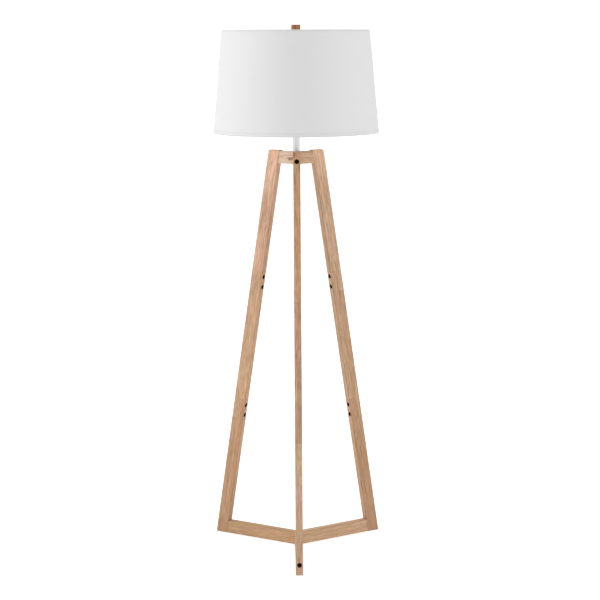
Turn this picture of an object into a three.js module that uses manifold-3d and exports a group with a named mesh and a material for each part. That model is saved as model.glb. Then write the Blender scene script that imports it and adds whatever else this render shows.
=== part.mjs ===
// Tripod floor lamp: three bolted C-frames of timber planks stand at 120 degrees and meet on
// the lamp's axis, where a lamp pipe and a harp carry the socket, the bulb and a fabric shade.
// Millimetres, +Z up. The origin is on the lamp's axis at floor level, and the front leg
// points along -Y.

import * as THREE from 'three';
import { mergeVertices } from 'three/addons/utils/BufferGeometryUtils.js';
import Module from 'manifold-3d';

const wasm = await Module();
wasm.setup();

// ---- Driving dimensions ----

const GAP = 0.3;                    // clearance between pieces that touch

const PLANK_WIDTH = 35;             // from a leg's outer edge to its inner edge
const PLANK_THICKNESS = 19;
const WOOD_BOTTOM = 1.5;            // underside of the timber, above the floor

const FOOT_RADIUS = 271;            // a leg's outer edge, at floor level
const LEG_TOP_RADIUS = 83.3;        // a leg's outer edge, at the leg's top
const LEG_TOP = 1131;
const LAP_LENGTH = 60;              // half-lap joints between a leg's three planks
const LOWER_LAP = 389;              // the laps' centres, measured up the leg's outer edge
const UPPER_LAP = 770;

const ARM_TOP = 1128.4;
const ARM_HEIGHT = 34;
const RAIL_TOP = 37;

const BOLT_HEAD_RADIUS = 6.2;
const BOLT_HEAD_HEIGHT = 6;
const BOLT_SHANK_RADIUS = 3;
const BOLT_SOCKET_RADIUS = 2.9;     // hexagon socket, corner to axis
const BOLT_SOCKET_DEPTH = 3.2;
const LAP_BOLT_SPACING = 30;
const UPPER_LAP_BOLTS = 772;        // the middle of each pair of lap bolts, up the outer edge
const LOWER_LAP_BOLTS = 387;
const LAP_BOLT_LENGTH = 28.5;       // overall, head included
const LAP_BOLT_RECESS = 1;
const END_BOLT_LENGTH = 60;
const END_BOLT_RECESS = 1.8;
const ARM_BOLT_HEIGHT = 1106.7;
const RAIL_BOLT_HEIGHT = 27.6;

const PAD_THICKNESS = 1.2;
const PAD_LENGTH = 29;
const PAD_WIDTH = 15;

const PLATE_REACH = 42;             // of each arm of the plate that joins the rails from below
const PLATE_WIDTH = 13;
const PLATE_THICKNESS = 2.5;
const PLATE_SCREW_RADIUS = 28;      // from the lamp's axis to each screw
const CENTRE_PAD_RADIUS = 10;
const SCREW_HEAD_RADIUS = 4;
const SCREW_SHANK_RADIUS = 2;
const SCREW_LENGTH = 16;

const PIPE_RADIUS = 5;
const PIPE_BORE = 4;
const PIPE_BOTTOM = 1082;
const PIPE_TOP = 1230;
const PIPE_HOLE = PIPE_RADIUS + GAP;
const NECK_RADIUS = 10;
const NECK_WALL = 1.5;
const NECK_TOP = 1214;
const FLANGE_RADIUS = 13;           // of the hub nut
const FLANGE_THICKNESS = 1.8;
const NUT_ACROSS_FLATS = 14;
const LOWER_NUT_HEIGHT = 7;         // flange included
const UPPER_NUT_HEIGHT = 3.8;

const SADDLE_HALF_WIDTH = 25;
const SADDLE_STRIP = 2;
const SADDLE_DEPTH = 12;
const SADDLE_CORNER = 8;
const SADDLE_TOP = 1238;
const POST_RADIUS = 2;
const POST_HEIGHT = 8;
const SHOULDER_RADIUS = 5;
const SHOULDER_HEIGHT = 2;
const SLEEVE_RADIUS = 4;
const SLEEVE_BORE = 2.4;
const SLEEVE_LENGTH = 14;

const HARP_WIRE_RADIUS = 1.9;
const HARP_HALF_WIDTH = 54;
const HARP_WIDEST = 1345;
const HARP_TOP = 1438.5;
const HARP_SEAT_RADIUS = 7;
const STUD_RADIUS = 3.1;
const STUD_TOP = 1461;

const CAP_BOTTOM = 1220.9;
const CAP_RADIUS = 18.2;
const CAP_RIM = 1245;
const SHELL_RADIUS = 17;
const SHELL_WALL = 0.8;
const SHELL_BOTTOM = 1238.5;
const SHELL_TOP = 1281;
const SOCKET_FLOOR = 1262;          // bottom of the screw shell that takes the bulb
const SOCKET_BORE = 13.8;
const KEY_HEIGHT = 1252;
const KEY_SHAFT_RADIUS = 2;
const KEY_REACH = 27;               // from the socket's axis to the knob
const KNOB_LENGTH = 10;

const BULB_BOTTOM = 1264.3;
const BULB_HEIGHT = 108;
const BULB_RADIUS = 30;
const BULB_BASE_RADIUS = 13;
const BULB_BASE_HEIGHT = 26;

const SHADE_TOP = 1458.8;
const SHADE_BOTTOM = 1180.5;
const SHADE_TOP_RADIUS = 202.1;
const SHADE_BOTTOM_RADIUS = 228.6;
const SHADE_WALL = 1.2;
const RING_RADIUS = 1.6;            // of the rings' wire
const RING_INSET = 2.6;             // from the shade's edge to the wire's centre
const SPIDER_WIRE_RADIUS = 1.5;
const SPIDER_DROP_LENGTH = 24;
const SPIDER_WASHER_BOTTOM = 1445.2;
const SPIDER_WASHER_THICKNESS = 2;
const SPIDER_WASHER_RADIUS = 12;
const SPIDER_AZIMUTHS = [90, 210, 330];

const FINIAL_RADIUS = 12.2;
const FINIAL_BOTTOM = 1448.3;
const FINIAL_TOP = 1473;
const FINIAL_CHAMFER = 0.8;

const LEG_AZIMUTHS = { front: -90, right: 30, left: 150 };

const BOLT_SIDES = 14;              // facets of a bolt and of its hole
const SOCKET_SIDES = 24;
const SHADE_SIDES = 64;

const DEGREES = Math.PI / 180;
const LEAN = Math.atan2(FOOT_RADIUS - LEG_TOP_RADIUS, LEG_TOP);

// ---- Materials ----

function material(color, roughness, metalness) {
  return new THREE.MeshStandardMaterial({ color, roughness, metalness, flatShading: true });
}

const oak = material(0xc8a17c, 0.6, 0);
const blackSteel = material(0x1c1a19, 0.4, 0.9);
const zincSteel = material(0xb9bbbd, 0.35, 1);
const paintedMetal = material(0xdcd8d4, 0.4, 0.1);
const brass = material(0xc2a15c, 0.3, 1);
const porcelain = material(0xe9e6df, 0.4, 0);
const blackPlastic = material(0x191919, 0.5, 0);
const frostedGlass = material(0xf4f3ee, 0.3, 0);
const linen = material(0xecebe8, 0.9, 0);
const felt = material(0xcfc9bf, 1, 0);
const finialWood = material(0xaa7d5f, 0.55, 0);

// ---- Solids ----

function solid(geometry) {
  const bare = geometry.clone();
  bare.deleteAttribute('normal');
  bare.deleteAttribute('uv');
  const merged = mergeVertices(bare, 1e-4);
  const corners = merged.index.array;
  const triangles = [];
  for (let i = 0; i < corners.length; i += 3) {
    const [a, b, c] = [corners[i], corners[i + 1], corners[i + 2]];
    if (a !== b && b !== c && c !== a) {
      triangles.push(a, b, c);
    }
  }
  return new wasm.Manifold(new wasm.Mesh({
    numProp: 3,
    vertProperties: new Float32Array(merged.attributes.position.array),
    triVerts: new Uint32Array(triangles),
  }));
}

function geometryOf(body) {
  const { vertProperties, triVerts } = body.getMesh();
  const geometry = new THREE.BufferGeometry();
  geometry.setAttribute('position', new THREE.BufferAttribute(vertProperties, 3));
  geometry.setIndex(new THREE.BufferAttribute(triVerts, 1));
  geometry.computeVertexNormals();
  return geometry;
}

function piece(name, body, look) {
  const mesh = new THREE.Mesh(geometryOf(body), look);
  mesh.name = name;
  return mesh;
}

// The solid as it lies once it has the mesh's position and rotation.
function placed(body, position, rotation) {
  const mesh = new THREE.Object3D();
  mesh.position.copy(position);
  mesh.rotation.copy(rotation);
  mesh.updateMatrix();
  return solid(geometryOf(body).applyMatrix4(mesh.matrix));
}

function shapeOf(points) {
  return new THREE.Shape(points.map(([x, y]) => new THREE.Vector2(x, y)));
}

// A closed profile of [radius, height] points turned about Z.
function revolve(profile, segments) {
  const points = profile.map(([radius, height]) => new THREE.Vector2(radius, height));
  return solid(new THREE.LatheGeometry(points, segments).rotateX(Math.PI / 2));
}

function tube(inner, outer, bottom, top, segments) {
  return revolve([[inner, bottom], [outer, bottom], [outer, top], [inner, top], [inner, bottom]], segments);
}

function disc(radius, bottom, top, segments) {
  return revolve([[0, bottom], [radius, bottom], [radius, top], [0, top]], segments);
}

// A wire ring about Z.
function ring(ringRadius, height, wireRadius, segments, sides) {
  const profile = [];
  for (let i = 0; i <= sides; i += 1) {
    const turn = (i / sides) * 2 * Math.PI;
    profile.push([ringRadius + wireRadius * Math.cos(turn), height + wireRadius * Math.sin(turn)]);
  }
  return revolve(profile, segments);
}

// A round wire along a path.
function wire(path, radius, steps, sides) {
  const section = [];
  for (let i = 0; i < sides; i += 1) {
    const turn = (i / sides) * 2 * Math.PI;
    section.push([radius * Math.cos(turn), radius * Math.sin(turn)]);
  }
  return solid(new THREE.ExtrudeGeometry(shapeOf(section), { extrudePath: path, steps, bevelEnabled: false }));
}

// An outline of [x, z] points, given a depth along Y and centred on Y = 0.
function sideExtrusion(shape, depth) {
  const geometry = new THREE.ExtrudeGeometry(shape, { depth, bevelEnabled: false, curveSegments: 8 });
  return solid(geometry.translate(0, 0, -depth / 2).rotateX(Math.PI / 2));
}

// An outline of [x, y] points, extruded from bottom to top.
function planExtrusion(shape, bottom, top) {
  const geometry = new THREE.ExtrudeGeometry(shape, { depth: top - bottom, bevelEnabled: false });
  return solid(geometry.translate(0, 0, bottom));
}

function hexagon(cornerRadius) {
  const corners = [];
  for (let i = 0; i < 6; i += 1) {
    corners.push([cornerRadius * Math.cos(i * 60 * DEGREES), cornerRadius * Math.sin(i * 60 * DEGREES)]);
  }
  return shapeOf(corners);
}

// ---- Fasteners ----

// A socket-head bolt with the head's top at Z = 0 and its shank pointing along -Z.
function bolt(length) {
  const blank = revolve([
    [0, -length],
    [BOLT_SHANK_RADIUS, -length],
    [BOLT_SHANK_RADIUS, -BOLT_HEAD_HEIGHT],
    [BOLT_HEAD_RADIUS, -BOLT_HEAD_HEIGHT],
    [BOLT_HEAD_RADIUS, 0],
    [0, 0],
  ], BOLT_SIDES);
  return blank.subtract(planExtrusion(hexagon(BOLT_SOCKET_RADIUS), -BOLT_SOCKET_DEPTH, 1));
}

// The counterbored blind hole that such a bolt sits in, open well past the head.
function boltHole(length) {
  const shank = BOLT_SHANK_RADIUS + GAP;
  const head = BOLT_HEAD_RADIUS + GAP;
  const floor = -BOLT_HEAD_HEIGHT - GAP;
  const mouth = 8;
  return revolve([
    [0, -length - GAP],
    [shank, -length - GAP],
    [shank, floor],
    [head, floor],
    [head, mouth],
    [0, mouth],
  ], BOLT_SIDES);
}

function nut(bottom, height) {
  const cornerRadius = NUT_ACROSS_FLATS / 2 / Math.cos(30 * DEGREES);
  const blank = planExtrusion(hexagon(cornerRadius), bottom, bottom + height);
  return blank.subtract(disc(PIPE_HOLE, bottom - 1, bottom + height + 1, 20));
}

function flangeNut(top) {
  const flange = tube(PIPE_HOLE, FLANGE_RADIUS, top - FLANGE_THICKNESS, top, 24);
  return nut(top - LOWER_NUT_HEIGHT, LOWER_NUT_HEIGHT).add(flange);
}

// A countersunk wood screw with its head's face at Z = 0 and its shank pointing up.
const COUNTERSINK = 2;
const SCREW_RIM = 0.3;

function screwProfile(clearance, mouth, length) {
  const head = SCREW_HEAD_RADIUS + clearance;
  const shank = SCREW_SHANK_RADIUS + clearance;
  return [
    [0, mouth],
    [head, mouth],
    [head, SCREW_RIM],
    [shank, SCREW_RIM + COUNTERSINK],
    [shank, length],
    [0, length],
  ];
}

function screw() {
  const slotLength = 4;
  const slotWidth = 0.9;
  const slotDepth = 1;
  const slot = solid(new THREE.BoxGeometry(slotLength, slotWidth, 2 * slotDepth));
  const crossSlot = solid(new THREE.BoxGeometry(slotWidth, slotLength, 2 * slotDepth));
  return revolve(screwProfile(0, 0, SCREW_LENGTH), 12).subtract(slot).subtract(crossSlot);
}

function screwHole() {
  return revolve(screwProfile(GAP + 0.05, -2, SCREW_LENGTH + GAP), 12);
}

// ---- One C-frame, in its own plane: X points outward from the lamp's axis ----

// A point on a leg: along is measured up its outer edge from the floor, across inward from it.
function legPoint(along, across) {
  return [
    FOOT_RADIUS - along * Math.sin(LEAN) - across * Math.cos(LEAN),
    along * Math.cos(LEAN) - across * Math.sin(LEAN),
  ];
}

function legPointAtHeight(height, across) {
  return legPoint((height + across * Math.sin(LEAN)) / Math.cos(LEAN), across);
}

const LAP_PLANE = PLANK_WIDTH / 2;

// A plank's lower end reaches down along the outer edge at a lap and stops short at the inner.
function lowerLapEnd(lap) {
  const shoulder = lap + LAP_LENGTH / 2 + GAP / 2;
  const tip = lap - LAP_LENGTH / 2 + GAP / 2;
  return [
    legPoint(shoulder, PLANK_WIDTH),
    legPoint(shoulder, LAP_PLANE - GAP / 2),
    legPoint(tip, LAP_PLANE - GAP / 2),
    legPoint(tip, 0),
  ];
}

// A plank's upper end does the opposite.
function upperLapEnd(lap) {
  const shoulder = lap - LAP_LENGTH / 2 - GAP / 2;
  const tip = lap + LAP_LENGTH / 2 - GAP / 2;
  return [
    legPoint(shoulder, 0),
    legPoint(shoulder, LAP_PLANE + GAP / 2),
    legPoint(tip, LAP_PLANE + GAP / 2),
    legPoint(tip, PLANK_WIDTH),
  ];
}

function levelEnd(height, first, second) {
  return [legPointAtHeight(height, first), legPointAtHeight(height, second)];
}

// Where each bolt of a C-frame sits: its head's top centre, its rotation and its length.
function boltPlaces() {
  const inward = new THREE.Euler(0, -(Math.PI / 2 + LEAN), 0);
  const outward = new THREE.Euler(0, Math.PI / 2, 0);
  const places = {};
  for (const [lapName, middle] of Object.entries({ upper: UPPER_LAP_BOLTS, lower: LOWER_LAP_BOLTS })) {
    for (const [number, side] of [[1, 1], [2, -1]]) {
      const along = middle + (side * LAP_BOLT_SPACING) / 2;
      const [x, z] = legPoint(along, PLANK_WIDTH - LAP_BOLT_RECESS);
      places[`${lapName}_lap_bolt_${number}`] = {
        position: new THREE.Vector3(x, 0, z), rotation: inward, length: LAP_BOLT_LENGTH,
      };
    }
  }
  for (const [name, height] of [['arm_bolt', ARM_BOLT_HEIGHT], ['rail_bolt', RAIL_BOLT_HEIGHT]]) {
    const [x] = legPointAtHeight(height, 0);
    places[name] = {
      position: new THREE.Vector3(x - END_BOLT_RECESS, 0, height), rotation: outward, length: END_BOLT_LENGTH,
    };
  }
  return places;
}

// One arm of the plate under the rails, or the recess for it, from the lamp's axis outward.
function plateArm(reach, width, bottom, top) {
  const half = width / 2;
  return planExtrusion(shapeOf([[0, -half], [reach, -half], [reach, half], [0, half]]), bottom, top);
}

function drilled(plank, places, boltNames) {
  let body = plank;
  for (const boltName of boltNames) {
    const { position, rotation, length } = places[boltName];
    body = body.subtract(placed(boltHole(length), position, rotation));
  }
  return body;
}

// A level plank from the lamp's axis to a leg's inner face. Its inner end is mitred to a
// point so that three of them meet on the axis.
function radialPlank(bottom, top) {
  const half = PLANK_THICKNESS / 2;
  const tip = GAP / 2 / Math.sin(60 * DEGREES);
  const mitre = tip + half / Math.tan(60 * DEGREES);
  const [outerBottom] = legPointAtHeight(bottom, PLANK_WIDTH + GAP);
  const [outerTop] = legPointAtHeight(top, PLANK_WIDTH + GAP);
  const side = sideExtrusion(
    shapeOf([[0, bottom], [outerBottom, bottom], [outerTop, top], [0, top]]),
    PLANK_THICKNESS,
  );
  const plan = shapeOf([[tip, 0], [mitre, -half], [FOOT_RADIUS, -half], [FOOT_RADIUS, half], [mitre, half]]);
  return side.intersect(planExtrusion(plan, bottom, top));
}

function cFrame(name) {
  const frame = new THREE.Group();
  const places = boltPlaces();

  const upper = [
    ...levelEnd(LEG_TOP, 0, PLANK_WIDTH),
    ...lowerLapEnd(UPPER_LAP),
  ];
  const middle = [...upperLapEnd(UPPER_LAP), ...lowerLapEnd(LOWER_LAP)];
  const lower = [...upperLapEnd(LOWER_LAP), ...levelEnd(WOOD_BOTTOM, PLANK_WIDTH, 0)];
  const upperBolts = ['upper_lap_bolt_1', 'upper_lap_bolt_2'];
  const lowerBolts = ['lower_lap_bolt_1', 'lower_lap_bolt_2'];
  const planks = {
    leg_upper: [upper, ['arm_bolt', ...upperBolts]],
    leg_middle: [middle, [...upperBolts, ...lowerBolts]],
    leg_lower: [lower, [...lowerBolts, 'rail_bolt']],
  };
  for (const [plankName, [outline, boltNames]] of Object.entries(planks)) {
    const blank = sideExtrusion(shapeOf(outline), PLANK_THICKNESS);
    frame.add(piece(`${name}_${plankName}`, drilled(blank, places, boltNames), oak));
  }

  const arm = drilled(radialPlank(ARM_TOP - ARM_HEIGHT, ARM_TOP), places, ['arm_bolt']);
  const pipeHole = disc(PIPE_HOLE, ARM_TOP - ARM_HEIGHT - 1, ARM_TOP + 1, 20);
  frame.add(piece(`${name}_arm`, arm.subtract(pipeHole), oak));

  const rail = drilled(radialPlank(WOOD_BOTTOM, RAIL_TOP), places, ['rail_bolt']);
  const plateRecess = plateArm(PLATE_REACH + GAP, PLATE_WIDTH + 2 * GAP, 0, WOOD_BOTTOM + PLATE_THICKNESS + GAP);
  const screwPlace = new THREE.Vector3(PLATE_SCREW_RADIUS, 0, WOOD_BOTTOM);
  const pilot = placed(screwHole(), screwPlace, new THREE.Euler());
  frame.add(piece(`${name}_rail`, rail.subtract(plateRecess).subtract(pilot), oak));

  for (const [boltName, { position, rotation, length }] of Object.entries(places)) {
    const mesh = piece(`${name}_${boltName}`, bolt(length), blackSteel);
    mesh.position.copy(position);
    mesh.rotation.copy(rotation);
    frame.add(mesh);
  }

  const plateScrew = piece(`${name}_plate_screw`, screw(), zincSteel);
  plateScrew.position.copy(screwPlace);
  frame.add(plateScrew);

  const [footOuter] = legPointAtHeight(WOOD_BOTTOM, 0);
  const [footInner] = legPointAtHeight(WOOD_BOTTOM, PLANK_WIDTH);
  const pad = piece(`${name}_foot_pad`, solid(new THREE.BoxGeometry(PAD_LENGTH, PAD_WIDTH, PAD_THICKNESS)), felt);
  pad.position.set((footOuter + footInner) / 2, 0, PAD_THICKNESS / 2);
  frame.add(pad);

  frame.rotation.z = LEG_AZIMUTHS[name] * DEGREES;
  return frame;
}

// ---- The three-armed plate and the pad where the rails meet ----

function centreFoot() {
  const foot = new THREE.Group();
  const hole = placed(screwHole(), new THREE.Vector3(PLATE_SCREW_RADIUS, 0, WOOD_BOTTOM), new THREE.Euler());
  const arm = plateArm(PLATE_REACH, PLATE_WIDTH, WOOD_BOTTOM, WOOD_BOTTOM + PLATE_THICKNESS).subtract(hole);
  const [front, right, left] = Object.values(LEG_AZIMUTHS).map(
    (azimuth) => placed(arm, new THREE.Vector3(), new THREE.Euler(0, 0, azimuth * DEGREES)),
  );
  foot.add(piece('centre_plate', front.add(right).add(left), zincSteel));
  foot.add(piece('centre_pad', disc(CENTRE_PAD_RADIUS, 0, PAD_THICKNESS, 24), felt));
  return foot;
}

// ---- The lamp pipe and what it clamps together ----

function pipeStack() {
  const stack = new THREE.Group();
  const hubNutTop = ARM_TOP - ARM_HEIGHT - GAP;
  const saddleBottom = NECK_TOP + GAP;

  stack.add(piece('lamp_pipe', tube(PIPE_BORE, PIPE_RADIUS, PIPE_BOTTOM, PIPE_TOP, 20), zincSteel));
  stack.add(piece('neck_tube', tube(NECK_RADIUS - NECK_WALL, NECK_RADIUS, ARM_TOP + GAP, NECK_TOP, 32), paintedMetal));
  stack.add(piece('hub_nut', flangeNut(hubNutTop), zincSteel));
  stack.add(piece('saddle_nut', nut(saddleBottom + SADDLE_STRIP + GAP, UPPER_NUT_HEIGHT), zincSteel));
  stack.add(piece('cord_bushing', cordBushing(), blackPlastic));
  stack.add(piece('harp_saddle', harpSaddle(saddleBottom), brass));
  return stack;
}

// A flanged plastic sleeve in the pipe's lower end, where the supply cord enters.
function cordBushing() {
  const bore = 2.7;
  const sleeve = PIPE_BORE - GAP;
  const flange = 7;
  const flangeTop = PIPE_BOTTOM - GAP;
  const flangeBottom = flangeTop - 2.2;
  const sleeveTop = PIPE_BOTTOM + 8;
  return revolve([
    [bore, flangeBottom],
    [flange, flangeBottom],
    [flange, flangeTop],
    [sleeve, flangeTop],
    [sleeve, sleeveTop],
    [bore, sleeveTop],
    [bore, flangeBottom],
  ], 18);
}

// A U-shaped strip on the pipe. Each arm ends in a shouldered post that the harp stands on.
function harpSaddle(bottom) {
  const outer = SADDLE_HALF_WIDTH;
  const inner = outer - SADDLE_STRIP;
  const corner = bottom + SADDLE_CORNER;
  const innerCorner = SADDLE_CORNER - SADDLE_STRIP;
  const quarter = Math.PI / 2;
  const strip = new THREE.Shape();
  strip.moveTo(-outer, SADDLE_TOP);
  strip.lineTo(-outer, corner);
  strip.absarc(-outer + SADDLE_CORNER, corner, SADDLE_CORNER, 2 * quarter, 3 * quarter, false);
  strip.lineTo(outer - SADDLE_CORNER, bottom);
  strip.absarc(outer - SADDLE_CORNER, corner, SADDLE_CORNER, 3 * quarter, 4 * quarter, false);
  strip.lineTo(outer, SADDLE_TOP);
  strip.lineTo(inner, SADDLE_TOP);
  strip.lineTo(inner, corner);
  strip.absarc(outer - SADDLE_CORNER, corner, innerCorner, 4 * quarter, 3 * quarter, true);
  strip.lineTo(-outer + SADDLE_CORNER, bottom + SADDLE_STRIP);
  strip.absarc(-outer + SADDLE_CORNER, corner, innerCorner, 3 * quarter, 2 * quarter, true);
  strip.lineTo(-inner, SADDLE_TOP);

  const post = revolve([
    [0, -SHOULDER_HEIGHT],
    [SHOULDER_RADIUS, -SHOULDER_HEIGHT],
    [SHOULDER_RADIUS, 0],
    [POST_RADIUS, 0],
    [POST_RADIUS, POST_HEIGHT],
    [0, POST_HEIGHT],
  ], 14);
  let saddle = sideExtrusion(strip, SADDLE_DEPTH);
  for (const side of [-1, 1]) {
    const place = new THREE.Vector3(side * HARP_FOOT, 0, SADDLE_TOP + SHOULDER_HEIGHT / 2);
    saddle = saddle.add(placed(post, place, new THREE.Euler()));
  }
  return saddle.subtract(disc(PIPE_HOLE, bottom - 1, bottom + SADDLE_STRIP + 1, 20));
}

// ---- The harp: a sprung wire loop with a threaded stud on top ----

const HARP_FOOT = SADDLE_HALF_WIDTH - SADDLE_STRIP / 2;
const SHOULDER_TOP = SADDLE_TOP + SHOULDER_HEIGHT / 2;
const HARP_BOTTOM = SHOULDER_TOP + POST_HEIGHT + GAP;

// One side of the loop, listed from its foot to the top.
function harpSide(side) {
  const at = (x, z) => new THREE.Vector3(side * x, 0, z);
  const bend = HARP_BOTTOM + 20;
  const climb = HARP_WIDEST - bend;
  const crown = HARP_TOP - HARP_WIDEST;
  const rise = new THREE.LineCurve3(at(HARP_FOOT, HARP_BOTTOM), at(HARP_FOOT, bend));
  const flare = new THREE.CubicBezierCurve3(
    at(HARP_FOOT, bend),
    at(HARP_FOOT, bend + climb * 0.4),
    at(HARP_HALF_WIDTH, HARP_WIDEST - climb * 0.45),
    at(HARP_HALF_WIDTH, HARP_WIDEST),
  );
  const arch = new THREE.CubicBezierCurve3(
    at(HARP_HALF_WIDTH, HARP_WIDEST),
    at(HARP_HALF_WIDTH, HARP_WIDEST + crown * 0.6),
    at(HARP_HALF_WIDTH * 0.6, HARP_TOP),
    at(0, HARP_TOP),
  );
  return [rise, flare, arch];
}

function reversed(curve) {
  if (curve.isLineCurve3) {
    return new THREE.LineCurve3(curve.v2, curve.v1);
  }
  return new THREE.CubicBezierCurve3(curve.v3, curve.v2, curve.v1, curve.v0);
}

function harp() {
  const path = new THREE.CurvePath();
  for (const curve of harpSide(1)) {
    path.add(curve);
  }
  for (const curve of harpSide(-1).reverse()) {
    path.add(reversed(curve));
  }
  const seatTop = SPIDER_WASHER_BOTTOM - GAP;
  const stud = revolve([
    [0, HARP_TOP - 1],
    [HARP_SEAT_RADIUS, HARP_TOP - 1],
    [HARP_SEAT_RADIUS, seatTop],
    [STUD_RADIUS, seatTop],
    [STUD_RADIUS, STUD_TOP],
    [0, STUD_TOP],
  ], 16);
  return wire(path, HARP_WIRE_RADIUS, 44, 8).add(stud);
}

function harpAssembly() {
  const assembly = new THREE.Group();
  assembly.add(piece('harp', harp(), brass));
  for (const [name, side] of [['left', -1], ['right', 1]]) {
    const sleeve = piece(`harp_sleeve_${name}`, tube(SLEEVE_BORE, SLEEVE_RADIUS, 0, SLEEVE_LENGTH, 18), brass);
    sleeve.position.set(side * HARP_FOOT, 0, SHOULDER_TOP + GAP);
    assembly.add(sleeve);
  }
  return assembly;
}

// ---- The socket, its turn key and the bulb ----

function socketCap() {
  const wall = 0.9;
  const collar = 7.5;
  const collarTop = CAP_BOTTOM + 6;
  const shoulder = 1236;
  const profile = [
    [PIPE_HOLE, CAP_BOTTOM],
    [collar, CAP_BOTTOM],
    [collar, collarTop],
    [CAP_RADIUS, shoulder],
    [CAP_RADIUS, CAP_RIM],
    [CAP_RADIUS - wall, CAP_RIM],
    [CAP_RADIUS - wall, shoulder + wall],
    [collar, collarTop + wall],
    [PIPE_HOLE, collarTop + wall],
    [PIPE_HOLE, CAP_BOTTOM],
  ];
  return revolve(profile, SOCKET_SIDES);
}

function keyBore(radius, from, to) {
  const bore = new THREE.CylinderGeometry(radius, radius, to - from, 12);
  return solid(bore.translate(0, -(from + to) / 2, KEY_HEIGHT));
}

function socketBody() {
  const outer = SHELL_RADIUS - SHELL_WALL - GAP;
  const bottom = SHELL_BOTTOM + 0.5;
  const top = SHELL_TOP - 2;
  const contactRadius = 3;
  const contactTop = BULB_BOTTOM - GAP;
  const profile = [
    [0, bottom],
    [outer, bottom],
    [outer, top],
    [SOCKET_BORE, top],
    [SOCKET_BORE, SOCKET_FLOOR],
    [contactRadius, SOCKET_FLOOR],
    [contactRadius, contactTop],
    [0, contactTop],
  ];
  return revolve(profile, SOCKET_SIDES).subtract(keyBore(KEY_SHAFT_RADIUS + GAP, 3.5, SHELL_RADIUS));
}

function socketShell() {
  const shell = tube(SHELL_RADIUS - SHELL_WALL, SHELL_RADIUS, SHELL_BOTTOM, SHELL_TOP, SOCKET_SIDES);
  return shell.subtract(keyBore(KEY_SHAFT_RADIUS + 1, SHELL_RADIUS - 4, SHELL_RADIUS + 4));
}

// A shaft out of the socket's front with a two-winged knob.
function switchKey() {
  const hubRadius = 5;
  const wingReach = 9;
  const wingHalf = 2.4;
  const hub = solid(new THREE.CylinderGeometry(hubRadius, hubRadius, KNOB_LENGTH, 16));
  const wings = new THREE.Shape();
  wings.absarc(0, wingReach - wingHalf, wingHalf, 0, Math.PI, false);
  wings.absarc(0, wingHalf - wingReach, wingHalf, Math.PI, 2 * Math.PI, false);
  const knob = hub.add(sideExtrusion(wings, KNOB_LENGTH));
  const knobPlace = new THREE.Vector3(0, -KEY_REACH - KNOB_LENGTH / 2, KEY_HEIGHT);
  return keyBore(KEY_SHAFT_RADIUS, 4, KEY_REACH + 1).add(placed(knob, knobPlace, new THREE.Euler()));
}

function bulb() {
  const domeCentre = BULB_BOTTOM + BULB_HEIGHT - BULB_RADIUS;
  const baseTop = BULB_BOTTOM + BULB_BASE_HEIGHT;
  const profile = [
    [0, BULB_BOTTOM],
    [4, BULB_BOTTOM],
    [BULB_BASE_RADIUS, BULB_BOTTOM + 5],
    [BULB_BASE_RADIUS, baseTop],
    [BULB_BASE_RADIUS + 2.5, baseTop + 10],
  ];
  const domeSteps = 8;
  const domeStart = -35;
  for (let i = 0; i <= domeSteps; i += 1) {
    const turn = (domeStart + ((90 - domeStart) * i) / domeSteps) * DEGREES;
    const radius = i === domeSteps ? 0 : BULB_RADIUS * Math.cos(turn);
    profile.push([radius, domeCentre + BULB_RADIUS * Math.sin(turn)]);
  }
  return revolve(profile, 24);
}

function lampHolder() {
  const holder = new THREE.Group();
  holder.add(piece('socket_cap', socketCap(), brass));
  holder.add(piece('socket_shell', socketShell(), brass));
  holder.add(piece('socket_body', socketBody(), porcelain));
  holder.add(piece('switch_key', switchKey(), blackPlastic));
  holder.add(piece('bulb', bulb(), frostedGlass));
  return holder;
}

// ---- The shade: fabric on a stiff liner, two wire rings and a three-armed spider ----

function shadeRadius(height) {
  const fall = (SHADE_TOP - height) / (SHADE_TOP - SHADE_BOTTOM);
  return SHADE_TOP_RADIUS + (SHADE_BOTTOM_RADIUS - SHADE_TOP_RADIUS) * fall;
}

function shadeCover() {
  return revolve([
    [SHADE_BOTTOM_RADIUS - SHADE_WALL, SHADE_BOTTOM],
    [SHADE_BOTTOM_RADIUS, SHADE_BOTTOM],
    [SHADE_TOP_RADIUS, SHADE_TOP],
    [SHADE_TOP_RADIUS - SHADE_WALL, SHADE_TOP],
    [SHADE_BOTTOM_RADIUS - SHADE_WALL, SHADE_BOTTOM],
  ], SHADE_SIDES);
}

// The radius, about the lamp's axis, of the wire's centre in the shade's ring at this height.
function ringCentre(height) {
  const clearance = GAP + 0.15;
  return shadeRadius(height) - SHADE_WALL - clearance - RING_RADIUS;
}

function shadeRing(height) {
  return ring(ringCentre(height), height, RING_RADIUS, SHADE_SIDES, 6);
}

// An arm butts against the top ring and drops to the level of the washer that sits on the harp.
function spiderArm(azimuth) {
  const turn = azimuth * DEGREES;
  const ringHeight = SHADE_TOP - RING_INSET;
  const hubHeight = SPIDER_WASHER_BOTTOM + SPIDER_WASHER_THICKNESS / 2;
  const endRadius = ringCentre(ringHeight) - RING_RADIUS - GAP;
  const dropRadius = endRadius - SPIDER_DROP_LENGTH;
  const at = (radius, z) => new THREE.Vector3(radius * Math.cos(turn), radius * Math.sin(turn), z);
  const drop = new THREE.CubicBezierCurve3(
    at(endRadius, ringHeight),
    at(endRadius - SPIDER_DROP_LENGTH * 0.6, ringHeight),
    at(dropRadius + SPIDER_DROP_LENGTH * 0.5, hubHeight),
    at(dropRadius, hubHeight),
  );
  const run = new THREE.LineCurve3(at(dropRadius + 0.5, hubHeight), at(SPIDER_WASHER_RADIUS - 2, hubHeight));
  return wire(drop, SPIDER_WIRE_RADIUS, 12, 8).add(wire(run, SPIDER_WIRE_RADIUS, 1, 8));
}

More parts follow.
